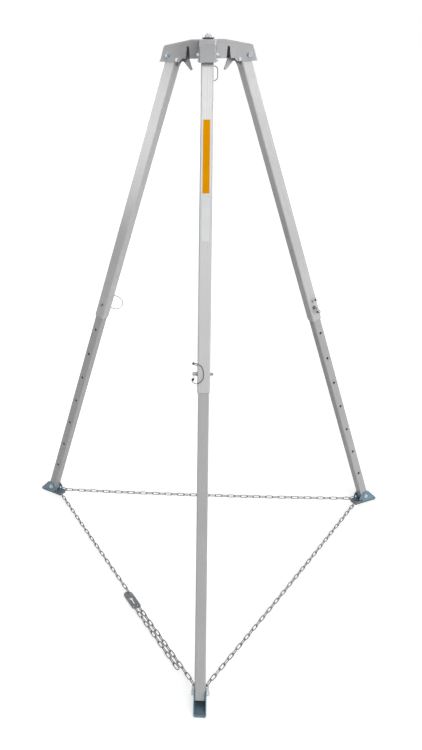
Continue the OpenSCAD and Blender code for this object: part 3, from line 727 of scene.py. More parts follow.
class Coat(Enum):
    """The finishes that are the same wherever they are used."""

    HEAD = Finish("head_coat", (0.47, 0.47, 0.48), (0.41, 0.41, 0.425), metallic=0.0, rough=(0.30, 0.40),
                  cloud_scale=9.0, speckle_scale=1400.0, speckle_depth=0.16, edge_radius=0.0012,
                  edge_colour=(0.56, 0.56, 0.57), specular=0.08)
    ZINC = Finish("bright_zinc", (0.66, 0.68, 0.70), (0.48, 0.50, 0.525), metallic=0.5, rough=(0.22, 0.38),
                  edge_colour=(0.74, 0.75, 0.76))
    SHOE = Finish("blue_zinc", (0.18, 0.30, 0.38), (0.11, 0.19, 0.245), metallic=0.25, rough=(0.20, 0.34),
                  cloud_scale=22.0, speckle_scale=700.0, edge_radius=0.0008, edge_colour=(0.50, 0.58, 0.63),
                  dirt=0.25)
    # the chain's lighter edge colour is a painted highlight along the links' edges
    CHAIN = Finish("chain_zinc", (0.28, 0.285, 0.29), (0.16, 0.165, 0.17), metallic=0.45, rough=(0.14, 0.26),
                   cloud_scale=70.0, speckle_scale=1800.0, speckle_depth=0.12, edge_radius=0.0003,
                   edge_colour=(0.52, 0.53, 0.54))
    PIN = Finish("pin_steel", (0.30, 0.305, 0.31), (0.20, 0.205, 0.21), metallic=0.5, rough=(0.22, 0.36),
                 edge_radius=0.0004, edge_colour=(0.55, 0.56, 0.57))
    BOLT = Finish("pale_zinc", (0.42, 0.48, 0.53), (0.28, 0.33, 0.38), metallic=0.5, rough=(0.22, 0.36),
                  edge_colour=(0.60, 0.64, 0.67))
    BLACK = Finish("black_oxide", (0.10, 0.10, 0.105), (0.15, 0.15, 0.155), metallic=0.6, rough=(0.35, 0.5),
                   cloud_scale=50.0, speckle_scale=1500.0, speckle_depth=0.12,
                   edge_colour=(0.15, 0.15, 0.155))
    PLATE = Finish("shortener_steel", (0.12, 0.125, 0.13), (0.20, 0.205, 0.21), metallic=0.9,
                   rough=(0.3, 0.5), speckle_scale=1200.0, speckle_depth=0.2, edge_radius=0.0006,
                   edge_colour=(0.42, 0.43, 0.44))
    SPRING = Finish("oiled_spring", (0.10, 0.10, 0.105), (0.17, 0.17, 0.175), metallic=0.5,
                    rough=(0.25, 0.4), cloud_scale=80.0, speckle_scale=1500.0, edge_radius=0.0002)
    PLASTIC = Finish("bush_plastic", (0.022, 0.022, 0.023), (0.032, 0.032, 0.033), metallic=0.0,
                     rough=(0.42, 0.55), cloud_scale=40.0, speckle_scale=1800.0, speckle_depth=0.2,
                     edge_colour=(0.06, 0.06, 0.06))
    RUBBER = Finish("tread_rubber", (0.020, 0.020, 0.021), (0.034, 0.033, 0.032), metallic=0.0,
                    rough=(0.75, 0.9), cloud_scale=35.0, speckle_scale=1100.0, speckle_depth=0.35,
                    edge_radius=0.0008, edge_colour=(0.05, 0.05, 0.048), dirt=0.35)
    WIRE = WireFinish("lanyard_wire", (0.02, 0.02, 0.021), (0.05, 0.05, 0.052), metallic=0.1,
                      rough=(0.3, 0.6), speckle_scale=1500.0, speckle_depth=0.05, edge_radius=0.0002)
    YELLOW = Finish("yellow_film", (0.80, 0.325, 0.0), (0.73, 0.29, 0.0), metallic=0.0, rough=(0.5, 0.6),
                    cloud_scale=14.0, speckle_scale=900.0, speckle_depth=0.05, edge_radius=0.0002,
                    specular=0.0)
    PALE = Finish("pale_film", (0.68, 0.685, 0.70), (0.61, 0.615, 0.63), metallic=0.1, rough=(0.4, 0.5),
                  cloud_scale=18.0, speckle_scale=900.0, speckle_depth=0.05, edge_radius=0.0002,
                  specular=0.2)


class Palette:
    """Materials of all finishes: those of the coats, and each leg's own by node."""

    UPPER_COLOUR = (0.59, 0.59, 0.59)
    LOWER_COLOUR = (0.46, 0.46, 0.465)
    SECOND_SHARE = 0.88
    # depth under a tube's outer faces beyond which its inside carries painted shade
    BRIGHT_DEPTH = 0.0018

    # middle of each ball in the frame on the lock pin, and how far its black reaches
    EYELET_BALL = (0.009, -0.0361, 0.0371)
    EYELET_REACH = 0.0048
    FERRULE_BALL = (0.00207, -0.03805, -0.02014)
    FERRULE_REACH = 0.0053

    def __init__(self, stance: Stance) -> None:
        """Make every material once.

        Args:
            stance: sizes of the tripod.
        """
        self.stance = stance
        effects = Effects()
        self.plain = {coat: coat.value.build(effects) for coat in Coat}
        self.own: dict[str, bpy.types.Material] = {}
        for leg in Leg:
            rows = (("lanyard_eyelet", self.ring("eyelet", leg, self.EYELET_BALL, self.EYELET_REACH)),
                    ("pin_ferrule", self.ring("ferrule", leg, self.FERRULE_BALL, self.FERRULE_REACH)),
                    ("upper_tube", self.tube("upper_alloy", leg, self.UPPER_COLOUR, stance.upper_size)),
                    ("lower_tube", self.tube("lower_alloy", leg, self.LOWER_COLOUR, stance.lower_size)))
            for part, finish in rows:
                self.own[f"{part}_{leg.word}"] = finish.build(effects)

    def ring(self, name: str, leg: Leg, ball: Triple, reach: float) -> BallFinish:
        """Finish of a lanyard ring with its ball; the left leg's lies on the other side.

        Args:
            name: first part of the finish's name.
            leg: the leg.
            ball: middle of the ball in the frame on the lock pin.
            reach: radius of its black.

        Returns:
            The finish.
        """
        side = -1.0 if leg is Leg.LEFT else 1.0
        pin = self.stance.at_leg(leg, self.stance.pin_place)
        centre = pin @ Vector((side * ball[0], ball[1], ball[2]))
        return BallFinish(f"{name}_{leg.word}", (0.55, 0.57, 0.59), (0.40, 0.42, 0.44), metallic=1.0,
                          rough=(0.24, 0.38), edge_radius=0.0003, centre=tuple(centre), reach=reach)

    def tube(self, name: str, leg: Leg, colour: Triple, size: float) -> DrawnFinish:
        """Finish of one tube; all that lies deeper than its skin carries painted shade, near black.

        Args:
            name: first part of the finish's name.
            leg: the leg.
            colour: the skin's colour.
            size: width of the tube.

        Returns:
            The finish.
        """
        return DrawnFinish(f"{name}_{leg.word}", colour, tuple(self.SECOND_SHARE * part for part in colour),
                           metallic=0.18, rough=(0.22, 0.30), cloud_scale=6.0, speckle_scale=1500.0,
                           speckle_depth=0.05, edge_radius=0.0022, specular=0.2, turn=leg.turn,
                           lean=self.stance.lean, axis=self.stance.tube_axis,
                           bore=size / 2 - self.BRIGHT_DEPTH)


class Dresser:
    """Gives the carried-over nodes their finishes."""

    ONCE = {"head_housing": Coat.HEAD, "anchor_eye": Coat.ZINC, "anchor_washer": Coat.BLACK,
            "anchor_dome_nut": Coat.ZINC, "leg_pivot_bolts": Coat.BOLT, "leg_pivot_nuts": Coat.BOLT,
            "latch_bolts": Coat.ZINC, "latch_nuts": Coat.ZINC, "chain_shortener": Coat.PLATE,
            "rope_loop": Coat.BLACK}
    EACH_LEG = {"pivot_bushes": Coat.PLASTIC, "lock_pin": Coat.PIN, "latch_lever": Coat.HEAD,
                "foot_bolt": Coat.ZINC, "foot_nut": Coat.ZINC, "foot_shoe": Coat.SHOE,
                "foot_tread": Coat.RUBBER, "chain_end_links": Coat.CHAIN}

    def __init__(self, frame: dict[str, Any], palette: Palette) -> None:
        """Keep the frame's nodes and the finishes."""
        self.nodes = frame["nodes"]
        self.palette = palette

    def coat(self, node: str, finish: bpy.types.Material) -> None:
        """Give one node its finish.

        Args:
            node: name of the node.
            finish: the material.
        """
        mesh = self.nodes[node].data
        mesh.materials.clear()
        mesh.materials.append(finish)
        LOG.info("finish of %s: %s", node, finish.name)

    def run(self) -> None:
        """Give every node that stays its finish."""
        for node, coat in self.ONCE.items():
            self.coat(node, self.palette.plain[coat])
        for leg in Leg:
            for part, coat in self.EACH_LEG.items():
                self.coat(f"{part}_{leg.word}", self.palette.plain[coat])
        for node, finish in self.palette.own.items():
            self.coat(node, finish)


# Pieces

class Span(NamedTuple):
    """A stretch of a run: the bodies at its start and end, and its first and last place in links."""

    first_body: str
    last_body: str
    first: int
    last: int


@dataclass
class Chain:
    """Chain loop: three runs of long welded links, and the spare links beside the left run."""

    stance: Stance
    finish: bpy.types.Material
    sleeve_finish: bpy.types.Material
    run_links: int = 45
    run_tilt: float = math.radians(30.0)
    wire: float = 0.004
    inner: float = 0.008
    play: float = 0.0004
    height: float = 0.0175
    sag: float = 0.008
    hole_inset: float = 0.022
    hole: float = 0.012
    cheek_middle: float = 0.0211
    plate_place: int = 28
    plate_links: int = 3
    tail_links: int = 12
    tail_side: float = 0.017
    weld_bulge: float = 0.13
    weld_width: float = 0.07
    # places between two stretches of a run, in links from its start, and those of the run with the plate
    stops: tuple[int, ...] = (0, 2, 12, 21, 24, 33, 43, 45)
    plate_stops: tuple[int, ...] = (0, 2, 13, 26, 31, 36, 43, 45)

    BEND_PARTS = 8
    WIRE_SIDES = 8
    BAR_PLACES = (0.5, 0.22, 0.14, 0.07, 0.0, -0.07, -0.14, -0.22, -0.5)
    MERGE_REACH = 1e-6
    FLAT_ANGLE = 0.02
    SHARP_ANGLE = 0.5

    def __post_init__(self) -> None:
        """Work out the link length that closes the loop."""
        self.end_bar = self.hole_inset + self.hole / 2 - self.wire / 2 - self.play / 2
        span = (2 * (self.stance.foot_radius - self.end_bar) * math.cos(self.run_tilt)
                - 2 * self.cheek_middle * math.sin(self.run_tilt))
        ends = 2 * math.cos(self.run_tilt)
        self.pitch = (span - self.wire * math.cos(self.run_tilt)) / (self.run_links + ends)
        self.inside = self.pitch + self.play
        self.reach = self.end_bar + self.pitch + self.wire / 2

    def corner(self, leg: Leg, side: float) -> Vector:
        """Floor plan point where a run begins at a shoe, on one of its two sides."""
        plan = Vector((self.stance.foot_radius - self.reach, side * self.cheek_middle, 0.0))
        return Matrix.Rotation(leg.turn, 3, "Z") @ plan

    def run_ends(self, leg: Leg) -> tuple[Vector, float, float]:
        """Find the run from a leg's shoe to the next leg's.

        Args:
            leg: the leg.

        Returns:
            The run's start, its direction in radians and its length.
        """
        start, stop = self.corner(leg, 1.0), self.corner(leg.next, -1.0)
        way = stop - start
        return start, math.atan2(way.y, way.x), way.length

    def link_mesh(self) -> bpy.types.Mesh:
        """One long link along X in the XY plane, with the bead of its weld on one side.

        Returns:
            The mesh.
        """
        bend = (self.inner + self.wire) / 2
        half = self.inside / 2 - self.inner / 2

        def round_end(middle: float, first: float) -> list[Vector]:
            """Points of the half circle round one end, from its first angle."""
            angles = [first + math.pi * k / self.BEND_PARTS for k in range(self.BEND_PARTS + 1)]
            return [Vector((middle + bend * math.cos(a), bend * math.sin(a), 0.0)) for a in angles]

        bar = [Vector((x * half, bend, 0.0)) for x in self.BAR_PLACES]
        line = round_end(half, -math.pi / 2) + bar + round_end(-half, math.pi / 2)
        line.append(Vector((0.0, -bend, 0.0)))
        weld = line_length(line[:self.BEND_PARTS + 2 + self.BAR_PLACES.index(0.0)])

        def thick(along: float, angle: float) -> float:
            """Radius of the wire, fuller at the weld."""
            off = (along - weld) / (self.weld_width * half)
            return self.wire / 2 * (1.0 + self.weld_bulge * math.exp(-off ** 2))

        return swept(line, thick, self.WIRE_SIDES, True, Vector((0.0, 0.0, 1.0)))

    @staticmethod
    def links_tree() -> bpy.types.NodeTree:
        """Node tree that sets links in line on a sagging run, every other one turned on its side.

        Returns:
            The tree.
        """
        graph, given, out = new_group(
            "links_on_a_run",
            {"Link": "Object", "First": "Int", "Count": "Int", "Pitch": "Float", "Run": "Float",
             "Height": "Float", "Sag": "Float", "Side": "Float", "Start": "Vector", "Turn": "Float",
             "Finish": "Material"}, {"Links": "Geometry"}, "GeometryNodeTree")
        begin = graph.math("MULTIPLY", graph.math("ADD", given["First"], 0.5), given["Pitch"])
        row = graph.add("GeometryNodeMeshLine", {"mode": "OFFSET"}, Count=given["Count"],
                        Start_Location=graph.vector(X=begin, Y=given["Side"]),
                        Offset=graph.vector(X=given["Pitch"]))
        spot = graph.split(graph.add("GeometryNodeInputPosition").outputs[0])
        share = graph.math("DIVIDE", spot["X"], given["Run"])
        deep = graph.math("MULTIPLY", 4.0, given["Sag"])
        low = graph.math("MULTIPLY", deep, graph.math("MULTIPLY", share, graph.math("SUBTRACT", 1.0, share)))
        lifted = graph.vector(Z=graph.math("SUBTRACT", given["Height"], low))
        hung = graph.add("GeometryNodeSetPosition", Geometry=row.outputs["Mesh"], Offset=lifted)
        slope = graph.math("SUBTRACT", 1.0, graph.math("MULTIPLY", 2.0, share))
        fall = graph.math("DIVIDE", graph.math("MULTIPLY", deep, slope), given["Run"])
        number = graph.math("ADD", graph.add("GeometryNodeInputIndex").outputs[0], given["First"])
        upright = graph.math("SUBTRACT", 1.0, graph.math("FLOORED_MODULO", number, 2.0))
        lean = graph.vector(X=graph.math("MULTIPLY", upright, math.pi / 2), Y=graph.math("ARCTANGENT", fall))
        link = graph.add("GeometryNodeObjectInfo", Object=given["Link"])
        turned = graph.add("FunctionNodeEulerToRotation", Euler=lean)
        laid = graph.add("GeometryNodeInstanceOnPoints", Points=hung.outputs["Geometry"],
                         Instance=link.outputs["Geometry"], Rotation=turned.outputs[0])
        placed = graph.add("GeometryNodeTransform", Geometry=laid.outputs["Instances"],
                           Translation=given["Start"], Rotation=graph.vector(Z=given["Turn"]))
        real = graph.add("GeometryNodeRealizeInstances", Geometry=placed.outputs["Geometry"])
        dressed = graph.add("GeometryNodeSetMaterial", Geometry=real.outputs["Geometry"],
                            Material=given["Finish"])
        graph.put(out["Links"], dressed.outputs["Geometry"])
        return graph.tree

    def stretch(self, name: str, leg: Leg, first: int, count: int, side: float = 0.0) -> bpy.types.Object:
        """Make a stretch of links on a run as one mesh.

        Args:
            name: name of the piece.
            leg: the leg at whose shoe the run begins.
            first: number of the stretch's first link.
            count: number of its links.
            side: sideways distance from the run.

        Returns:
            The piece.
        """
        start, turn, run = self.run_ends(leg)
        holder = in_scene("links_holder", bpy.data.meshes.new("links_holder"))
        modifier = holder.modifiers.new("links", "NODES")
        modifier.node_group = self.tree
        values = {"Link": self.link, "First": first, "Count": count, "Pitch": run / self.run_links,
                  "Run": run, "Height": self.height, "Sag": self.sag, "Side": side, "Start": tuple(start),
                  "Turn": turn, "Finish": self.finish}
        for item in self.tree.interface.items_tree:
            if item.item_type == "SOCKET" and item.in_out == "INPUT":
                modifier[item.identifier] = values[item.name]
        graph = bpy.context.evaluated_depsgraph_get()
        mesh = bpy.data.meshes.new_from_object(holder.evaluated_get(graph), depsgraph=graph)
        holder.modifiers.remove(modifier)
        bpy.data.objects.remove(holder)
        for face in mesh.polygons:
            face.use_smooth = True
        return new_piece(name, mesh)

    def point(self, leg: Leg, place: float) -> Vector:
        """Find a point on a run.

        Args:
            leg: the leg at whose shoe the run begins.
            place: number of links from its start.

        Returns:
            The point.
        """
        start, turn, run = self.run_ends(leg)
        share = place / self.run_links
        way = Vector((math.cos(turn), math.sin(turn), 0.0))
        high = self.height - 4 * self.sag * share * (1 - share)
        return start + way * (share * run) + Vector((0.0, 0.0, high))

    def spans(self, leg: Leg) -> list[Span]:
        """List the stretches of a run.

        Args:
            leg: the leg at whose shoe the run begins.

        Returns:
            The stretches, in order.
        """
        a, b = leg.word, leg.next.word
        stops = self.plate_stops if leg is Leg.LEFT else self.stops
        order = (f"foot_{a}", f"stage_{a}", f"leg_{a}", "head",
                 "head", f"leg_{b}", f"stage_{b}", f"foot_{b}")
        return [Span(*values) for values in zip(order, order[1:], stops, stops[1:])]

    def follow(self, piece: bpy.types.Object, leg: Leg, span: Span, node: str) -> None:
        """Attach a stretch to its body where both its ends share one, else fix it in place; hide its node.

        Args:
            piece: the stretch's piece.
            leg: the leg at whose shoe the run begins.
            span: the stretch.
            node: the node.
        """
        first_body, last_body, first, last = span
        if first_body == last_body:
            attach(piece, first_body)
        else:
            tuple(self.point(leg, first))
            tuple(self.point(leg, last))
            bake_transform(piece)
        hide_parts(node)
        LOG.info("chain piece %s follows %s and %s", piece.name, first_body, last_body)

    def build(self, frame: dict[str, Any]) -> None:
        """Make the three runs, the spare links and the sleeve of the quick link.

        Args:
            frame: the loaded frame.
        """
        self.tree = self.links_tree()
        self.link = new_piece("link_pattern", self.link_mesh())
        half = self.plate_links // 2
        low = self.plate_place + half + 1
        for leg, node in ((Leg.FRONT, "chain_right"), (Leg.RIGHT, "chain_rear"), (Leg.LEFT, "chain_left")):
            for number, span in enumerate(self.spans(leg)):
                parts = [(span.first, span.last)]
                if leg is Leg.LEFT and span.first <= self.plate_place < span.last:
                    parts = [(span.first, self.plate_place - half), (low, span.last)]
                for place, (first, last) in enumerate(parts):
                    name = f"{node}_links_{number + 1}" + ("ab"[place] if len(parts) > 1 else "")
                    self.follow(self.stretch(name, leg, first, last - first), leg, span, node)
        for number, span in enumerate(self.spans(Leg.LEFT)):
            first, last = max(span.first, low), min(span.last, low + self.tail_links)
            if last > first:
                name = f"spare_links_{number}"
                piece = self.stretch(name, Leg.LEFT, first, last - first, -self.tail_side)
                self.follow(piece, Leg.LEFT, span, "chain_tail")
        sleeve = new_piece("quick_link_sleeve", self.sleeve_mesh(frame), self.sleeve_finish)
        self.follow(sleeve, Leg.RIGHT, self.spans(Leg.RIGHT)[0], "quick_link_nut")
        bpy.data.objects.remove(self.link)

    def sleeve_mesh(self, frame: dict[str, Any]) -> bpy.types.Mesh:
        """Copy the quick link's screw sleeve, shaded smooth apart from its sharper edges.

        Args:
            frame: the loaded frame.

        Returns:
            The mesh.
        """
        work = bmesh.new()
        work.from_mesh(frame["nodes"]["quick_link_nut"].data)
        bmesh.ops.remove_doubles(work, verts=work.verts, dist=self.MERGE_REACH)
        bmesh.ops.dissolve_limit(work, angle_limit=self.FLAT_ANGLE, verts=work.verts, edges=work.edges)
        for face in work.faces:
            face.smooth = True
        for edge in work.edges:
            edge.smooth = len(edge.link_faces) == 2 and edge.calc_face_angle(0.0) < self.SHARP_ANGLE
        return mesh_of(work, "quick_link_sleeve")


@dataclass
class Lanyards:
    """Thin stranded wire from each eyelet to its lock pin."""

    stance: Stance
    finish: bpy.types.Material
    diameter: float = 0.0024
    groove: float = 0.12
    eyelet_rise: float = 0.034
    ring_drop: float = 0.022
    # outwards from the tube's middle, sideways, and up from the lock pin
    route: tuple[Triple, ...] = (
        (0.012, -0.0325, 0.0375), (0.018, -0.026, 0.037), (0.025, -0.018, 0.034), (0.027, -0.008, 0.027),
        (0.028, -0.002, 0.015), (0.028, 0.0, 0.002), (0.028, -0.001, -0.011), (0.027, -0.006, -0.022),
        (0.026, -0.015, -0.030), (0.023, -0.025, -0.033), (0.017, -0.034, -0.031), (0.010, -0.040, -0.027),
        (0.006, -0.0391, -0.0234))
    open_route: tuple[Triple, ...] = (
        (-0.013, -0.0385, 0.0375), (-0.023, -0.045, 0.0375), (-0.035, -0.053, 0.033),
        (-0.045, -0.0605, 0.023), (-0.0495, -0.064, 0.010), (-0.0495, -0.064, -0.003),
        (-0.045, -0.061, -0.015), (-0.037, -0.0555, -0.0245), (-0.026, -0.049, -0.0295),
        (-0.015, -0.0435, -0.028), (-0.0062, -0.0399, -0.0227))

    PARTS = 14
    SIDES = 24
    FIRST_SIDE = (0.31, 0.17, 0.94)

    def thick(self, along: float, angle: float) -> float:
        """Radius of the wire's section, with a groove between strands."""
        wave = abs(math.sin(WIRE_STRANDS / 2 * (angle - 2.0 * math.pi * along / WIRE_LAY)))
        return self.diameter / 2 * (1.0 - self.groove + self.groove * wave)

    def build(self) -> None:
        """Make the three lanyards."""
        for leg in Leg:
            place = self.stance.at_leg(leg, self.stance.pin_place)
            route = [Vector(spot) for spot in (self.open_route if leg is Leg.LEFT else self.route)]
            line = [place @ point for point in curve_through(route, self.PARTS)]
            mesh = swept(line, self.thick, self.SIDES, False, place.to_3x3() @ Vector(self.FIRST_SIDE))
            piece = new_piece(f"lanyard_wire_{leg.word}", mesh, self.finish)
            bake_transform(piece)
            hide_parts(f"lanyard_{leg.word}")
            LOG.info("lanyard %s: %.4f m", leg.word, line_length(line))


@dataclass
class LatchSprings:
    """Torsion springs on the latch bolts."""

    stance: Stance
    finish: bpy.types.Material
    wire: float = 0.0015
    radius: float = 0.0052
    pitch: float = 0.0021
    curls: int = 5
    hub_length: float = 0.025
    hub_gap: float = 0.0003
    lever_thick: float = 0.006
    lever_reach: float = 0.026
    arm_inner: float = 0.053
    arm_gap: float = 0.0004
    wall_reach: float = 0.024
    bend_out: float = 0.003

    CURL_PARTS = 24
    ARM_PARTS = 6
    BEND_PARTS = 3
    SIDES = 12
    FIRST_SIDE = (0.02, 1.0, 0.03)

    def line(self) -> list[Vector]:
        """The wire's middle in the latch frame: lever arm, curls and wall arm.

        Returns:
            The points.
        """
        start = self.hub_length / 2 + self.wire / 2 + self.hub_gap
        turns = self.curls + 0.5
        steps = round(self.CURL_PARTS * turns)
        curl = []
        for k in range(steps + 1):
            angle = -math.pi / 2 + 2 * math.pi * turns * k / steps
            curl.append(Vector((self.radius * math.cos(angle), start + self.pitch * turns * k / steps,
                                self.radius * math.sin(angle))))
        lever = Vector((-self.lever_reach, self.lever_thick / 2 + self.wire / 2 + self.arm_gap,
                        -self.radius))
        bend = Vector((-self.stance.hub_size / 2 - self.bend_out, start, -self.radius))
        wall = Vector((-self.wall_reach, self.arm_inner / 2 - self.wire / 2 - self.arm_gap,
                       self.radius + self.bend_out))
        return ([lever.lerp(bend, k / self.ARM_PARTS) for k in range(self.ARM_PARTS)]
                + [bend.lerp(curl[0], k / self.BEND_PARTS) for k in range(self.BEND_PARTS)] + curl
                + [curl[-1].lerp(wall, k / self.ARM_PARTS) for k in range(1, self.ARM_PARTS + 1)])

    def thick(self, along: float, angle: float) -> float:
        """Radius of the wire, the same all along and round."""
        return self.wire / 2

    def build(self) -> None:
        """Make the three springs."""
        for leg in Leg:
            place = self.stance.at_latch(leg)
            mesh = swept([place @ point for point in self.line()], self.thick, self.SIDES, False,
                         place.to_3x3() @ Vector(self.FIRST_SIDE))
            piece = new_piece(f"latch_spring_wire_{leg.word}", mesh, self.finish)
            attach(piece, f"latch_{leg.word}")
            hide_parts(f"latch_spring_{leg.word}")
            LOG.info("spring %s", leg.word)


@dataclass(frozen=True)
class Film:
    """A bare film stuck on the outer face of the front leg."""

    stance: Stance
    finish: bpy.types.Material
    name: str
    low: float
    high: float
    wide: float
    corner: float = 0.002
    thick: float = 0.00025
    gap: float = 0.00005

    CORNER_PARTS = 4

    def mesh(self) -> bpy.types.Mesh:
        """The film as a thin plate with round corners.

        Returns:
            The mesh in place on the leg.
        """
        place = self.stance.at_leg(Leg.FRONT)
        face = self.stance.upper_size / 2 + self.gap
        middle = -(self.low + self.high) / 2
        out, up = self.wide / 2 - self.corner, (self.high - self.low) / 2 - self.corner
        outline = []
        for x, y, turn in ((1, 1, 0.0), (-1, 1, 90.0), (-1, -1, 180.0), (1, -1, 270.0)):
            for k in range(self.CORNER_PARTS + 1):
                angle = math.radians(turn + 90.0 * k / self.CORNER_PARTS)
                outline.append((x * out + self.corner * math.cos(angle),
                                middle + y * up + self.corner * math.sin(angle)))
        work = bmesh.new()
        back = [work.verts.new(place @ Vector((face, y, z))) for y, z in outline]
        front = [work.verts.new(place @ Vector((face + self.thick, y, z))) for y, z in outline]
        work.faces.new(front)
        work.faces.new(list(reversed(back)))
        for k in range(len(outline)):
            after = (k + 1) % len(outline)
            work.faces.new((back[k], back[after], front[after], front[k]))
        return mesh_of(work, self.name)

    def build(self) -> None:
        """Make the film."""
        piece = new_piece(self.name, self.mesh(), self.finish)
        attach(piece, "leg_front")
        LOG.info("film %s", self.name)


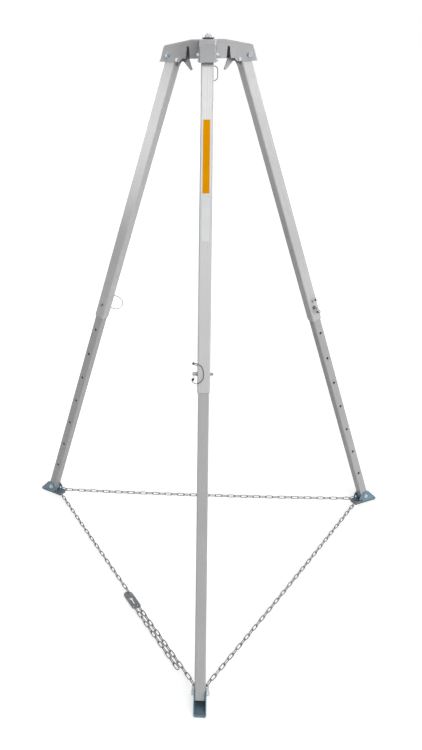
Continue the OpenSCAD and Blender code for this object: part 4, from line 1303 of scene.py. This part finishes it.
@dataclass(frozen=True)
class Studio:
    """Camera, floor and light."""

    place: Triple = (0.0397, -3.1294, 2.1705)
    right: Triple = (0.99666, 0.08064, -0.01319)
    up: Triple = (-0.01119, 0.29463, 0.95555)
    focus: float = 801.78
    shift: Pair = (60.0, -81.5)
    view_reach: float = 100.0
    floor_size: float = 30.0
    floor_drop: float = 0.0002
    # shades of the floor for light, and the stretches in which one turns into the next
    floor_left: float = 0.08
    floor_right: float = 0.66
    floor_far: float = 0.88
    floor_back: float = 0.32
    right_span: Pair = (-0.8, 0.5)
    far_span: Pair = (-11.0, -3.5)
    back_span: Pair = (1.6, 3.0)
    # the floor as it is seen
    shadow_shade: float = 0.80
    floor_white: float = 0.58
    # light of the world: direction, level and narrowness of the key, and what comes from all round
    key_way: Triple = (0.53, -0.80, 0.26)
    key_level: float = 5.4
    key_power: float = 14.0
    sky_level: float = 0.04
    # name, direction from the object, strength in watts per square metre and apparent width in degrees
    suns: tuple[tuple[str, Triple, float, float], ...] = (
        ("lamp_top", (0.1, 0.35, 1.0), 0.35, 24.0), ("lamp_left", (-0.9, -0.42, 0.08), 0.1, 14.0),
        ("lamp_right", (0.9, -0.42, 0.08), 0.22, 14.0), ("lamp_front", (0.05, -0.7, 0.7), 0.9, 40.0),
        ("lamp_back_left", (-0.5, 0.85, 0.12), 1.5, 30.0), ("lamp_back_right", (0.5, 0.85, 0.12), 1.5, 30.0))
    spot_name: str = "lamp_left_top"
    spot_place: Triple = (-1.6, -1.6, 2.2)
    spot_target: Triple = (-0.33, 0.16, 1.88)
    spot_power: float = 130.0
    spot_cone: float = math.radians(24.0)
    spot_size: float = 0.15

    def camera(self) -> None:
        """Set the camera at the photographed angle."""
        data = bpy.data.cameras.new("camera")
        data.sensor_width = SENSOR
        data.lens = self.focus * SENSOR / FRAME_HIGH
        data.shift_x = self.shift[0] / FRAME_HIGH
        data.shift_y = self.shift[1] / FRAME_HIGH
        data.clip_end = self.view_reach
        camera = in_scene("camera", data)
        right, up = Vector(self.right).normalized(), Vector(self.up).normalized()
        back = right.cross(up).normalized()
        turn = Matrix((right, back.cross(right), back)).transposed().to_4x4()
        camera.matrix_world = Matrix.Translation(self.place) @ turn
        bpy.context.scene.camera = camera

    @staticmethod
    def seen(graph: Graph) -> Socket:
        """Tell what is seen from what only gives light.

        Args:
            graph: graph of the floor or the world.

        Returns:
            1 where the camera sees it, itself or in another surface, and 0 elsewhere.
        """
        path = graph.add("ShaderNodeLightPath").outputs
        mirrored = graph.math("MAXIMUM", path["Is Glossy Ray"], path["Is Transmission Ray"])
        return graph.math("MAXIMUM", path["Is Camera Ray"], mirrored)

    def floor(self) -> None:
        """Lay a white floor that keeps the object's shadow.

        It throws less light back from the left and from behind.
        """
        work = bmesh.new()
        bmesh.ops.create_grid(work, x_segments=1, y_segments=1, size=self.floor_size)
        material = bpy.data.materials.new("floor_paper")
        material.use_nodes = True
        nodes = material.node_tree.nodes
        nodes.remove(nodes["Principled BSDF"])
        graph = Graph(material.node_tree)
        spot = graph.split(graph.place())
        near = graph.spread(spot["X"], self.floor_left, self.floor_right, self.right_span)
        far = graph.spread(spot["X"], self.floor_far, self.floor_left, self.far_span)
        behind = graph.spread(spot["Y"], 1.0, self.floor_back, self.back_span)
        shade = graph.math("MULTIPLY", graph.math("MAXIMUM", near, far), behind)
        paper = graph.add("ShaderNodeBsdfDiffuse", Color=shade)
        catch = graph.add("ShaderNodeBsdfDiffuse", Color=(*(self.shadow_shade,) * 3, 1.0))
        glow = graph.add("ShaderNodeEmission", Color=WHITE, Strength=self.floor_white)
        white = graph.add("ShaderNodeAddShader", n0=catch.outputs[0], n1=glow.outputs[0])
        mixed = graph.add("ShaderNodeMixShader", n0=self.seen(graph), n1=paper.outputs[0],
                          n2=white.outputs[0])
        graph.put(nodes["Material Output"].inputs["Surface"], mixed.outputs[0])
        piece = new_piece("floor", mesh_of(work, "floor"), material)
        piece.location.z = -self.floor_drop

    def world(self) -> None:
        """Light from the right in front and a little from all round, and plain white where it is seen."""
        world = bpy.data.worlds.new("studio")
        world.use_nodes = True
        bpy.context.scene.world = world
        nodes = world.node_tree.nodes
        graph = Graph(world.node_tree)
        way = tuple(Vector(self.key_way).normalized())
        facing = graph.math("MAXIMUM", graph.measure("DOT_PRODUCT", graph.place("Generated"), way), 0.0)
        key = graph.math("MULTIPLY", graph.math("POWER", facing, self.key_power), self.key_level)
        back = nodes["Background"]
        back.inputs["Color"].default_value = WHITE
        graph.put(back.inputs["Strength"], graph.math("ADD", key, self.sky_level))
        white = graph.add("ShaderNodeBackground", Color=WHITE, Strength=1.0)
        mixed = graph.add("ShaderNodeMixShader", n0=self.seen(graph), n1=back.outputs[0],
                          n2=white.outputs[0])
        graph.put(nodes["World Output"].inputs["Surface"], mixed.outputs[0])

    @staticmethod
    def hang(data: bpy.types.Light, away: Vector) -> bpy.types.Object:
        """Hang a lamp.

        Args:
            data: the lamp.
            away: direction from what it lights to the lamp.

        Returns:
            Its object.
        """
        lamp = in_scene(data.name, data)
        lamp.rotation_mode = "QUATERNION"
        lamp.rotation_quaternion = away.to_track_quat("Z", "Y")
        return lamp

    def lamps(self) -> None:
        """Hang the soft, far lamps, and one near lamp for the left leg's top."""
        for name, away, strength, width in self.suns:
            sun = bpy.data.lights.new(name, "SUN")
            sun.energy = strength
            sun.angle = math.radians(width)
            self.hang(sun, Vector(away))
        spot = bpy.data.lights.new(self.spot_name, "SPOT")
        spot.energy = self.spot_power
        spot.spot_size = self.spot_cone
        spot.spot_blend = 1.0
        spot.shadow_soft_size = self.spot_size
        lamp = self.hang(spot, Vector(self.spot_place) - Vector(self.spot_target))
        lamp.location = self.spot_place

    def build(self) -> None:
        """Set up floor and light."""
        self.floor()
        self.world()
        self.lamps()


def main() -> None:
    """Dress the frame and set the scene."""
    logging.basicConfig(level=logging.INFO, format="%(name)s: %(message)s")
    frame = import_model()
    bpy.context.scene.view_settings.view_transform = "Standard"
    stance = Stance()
    studio = Studio()
    studio.camera()
    palette = Palette(stance)
    plain = palette.plain
    Lanyards(stance, plain[Coat.WIRE]).build()
    Chain(stance, plain[Coat.CHAIN], plain[Coat.ZINC]).build(frame)
    LatchSprings(stance, plain[Coat.SPRING]).build()
    Film(stance, plain[Coat.YELLOW], "yellow_film", low=0.232, high=0.493, wide=0.0245).build()
    Film(stance, plain[Coat.PALE], "pale_film", low=0.508, high=0.662, wide=0.028).build()
    Dresser(frame, palette).run()
    studio.build()


if __name__ == "__main__":
    main()
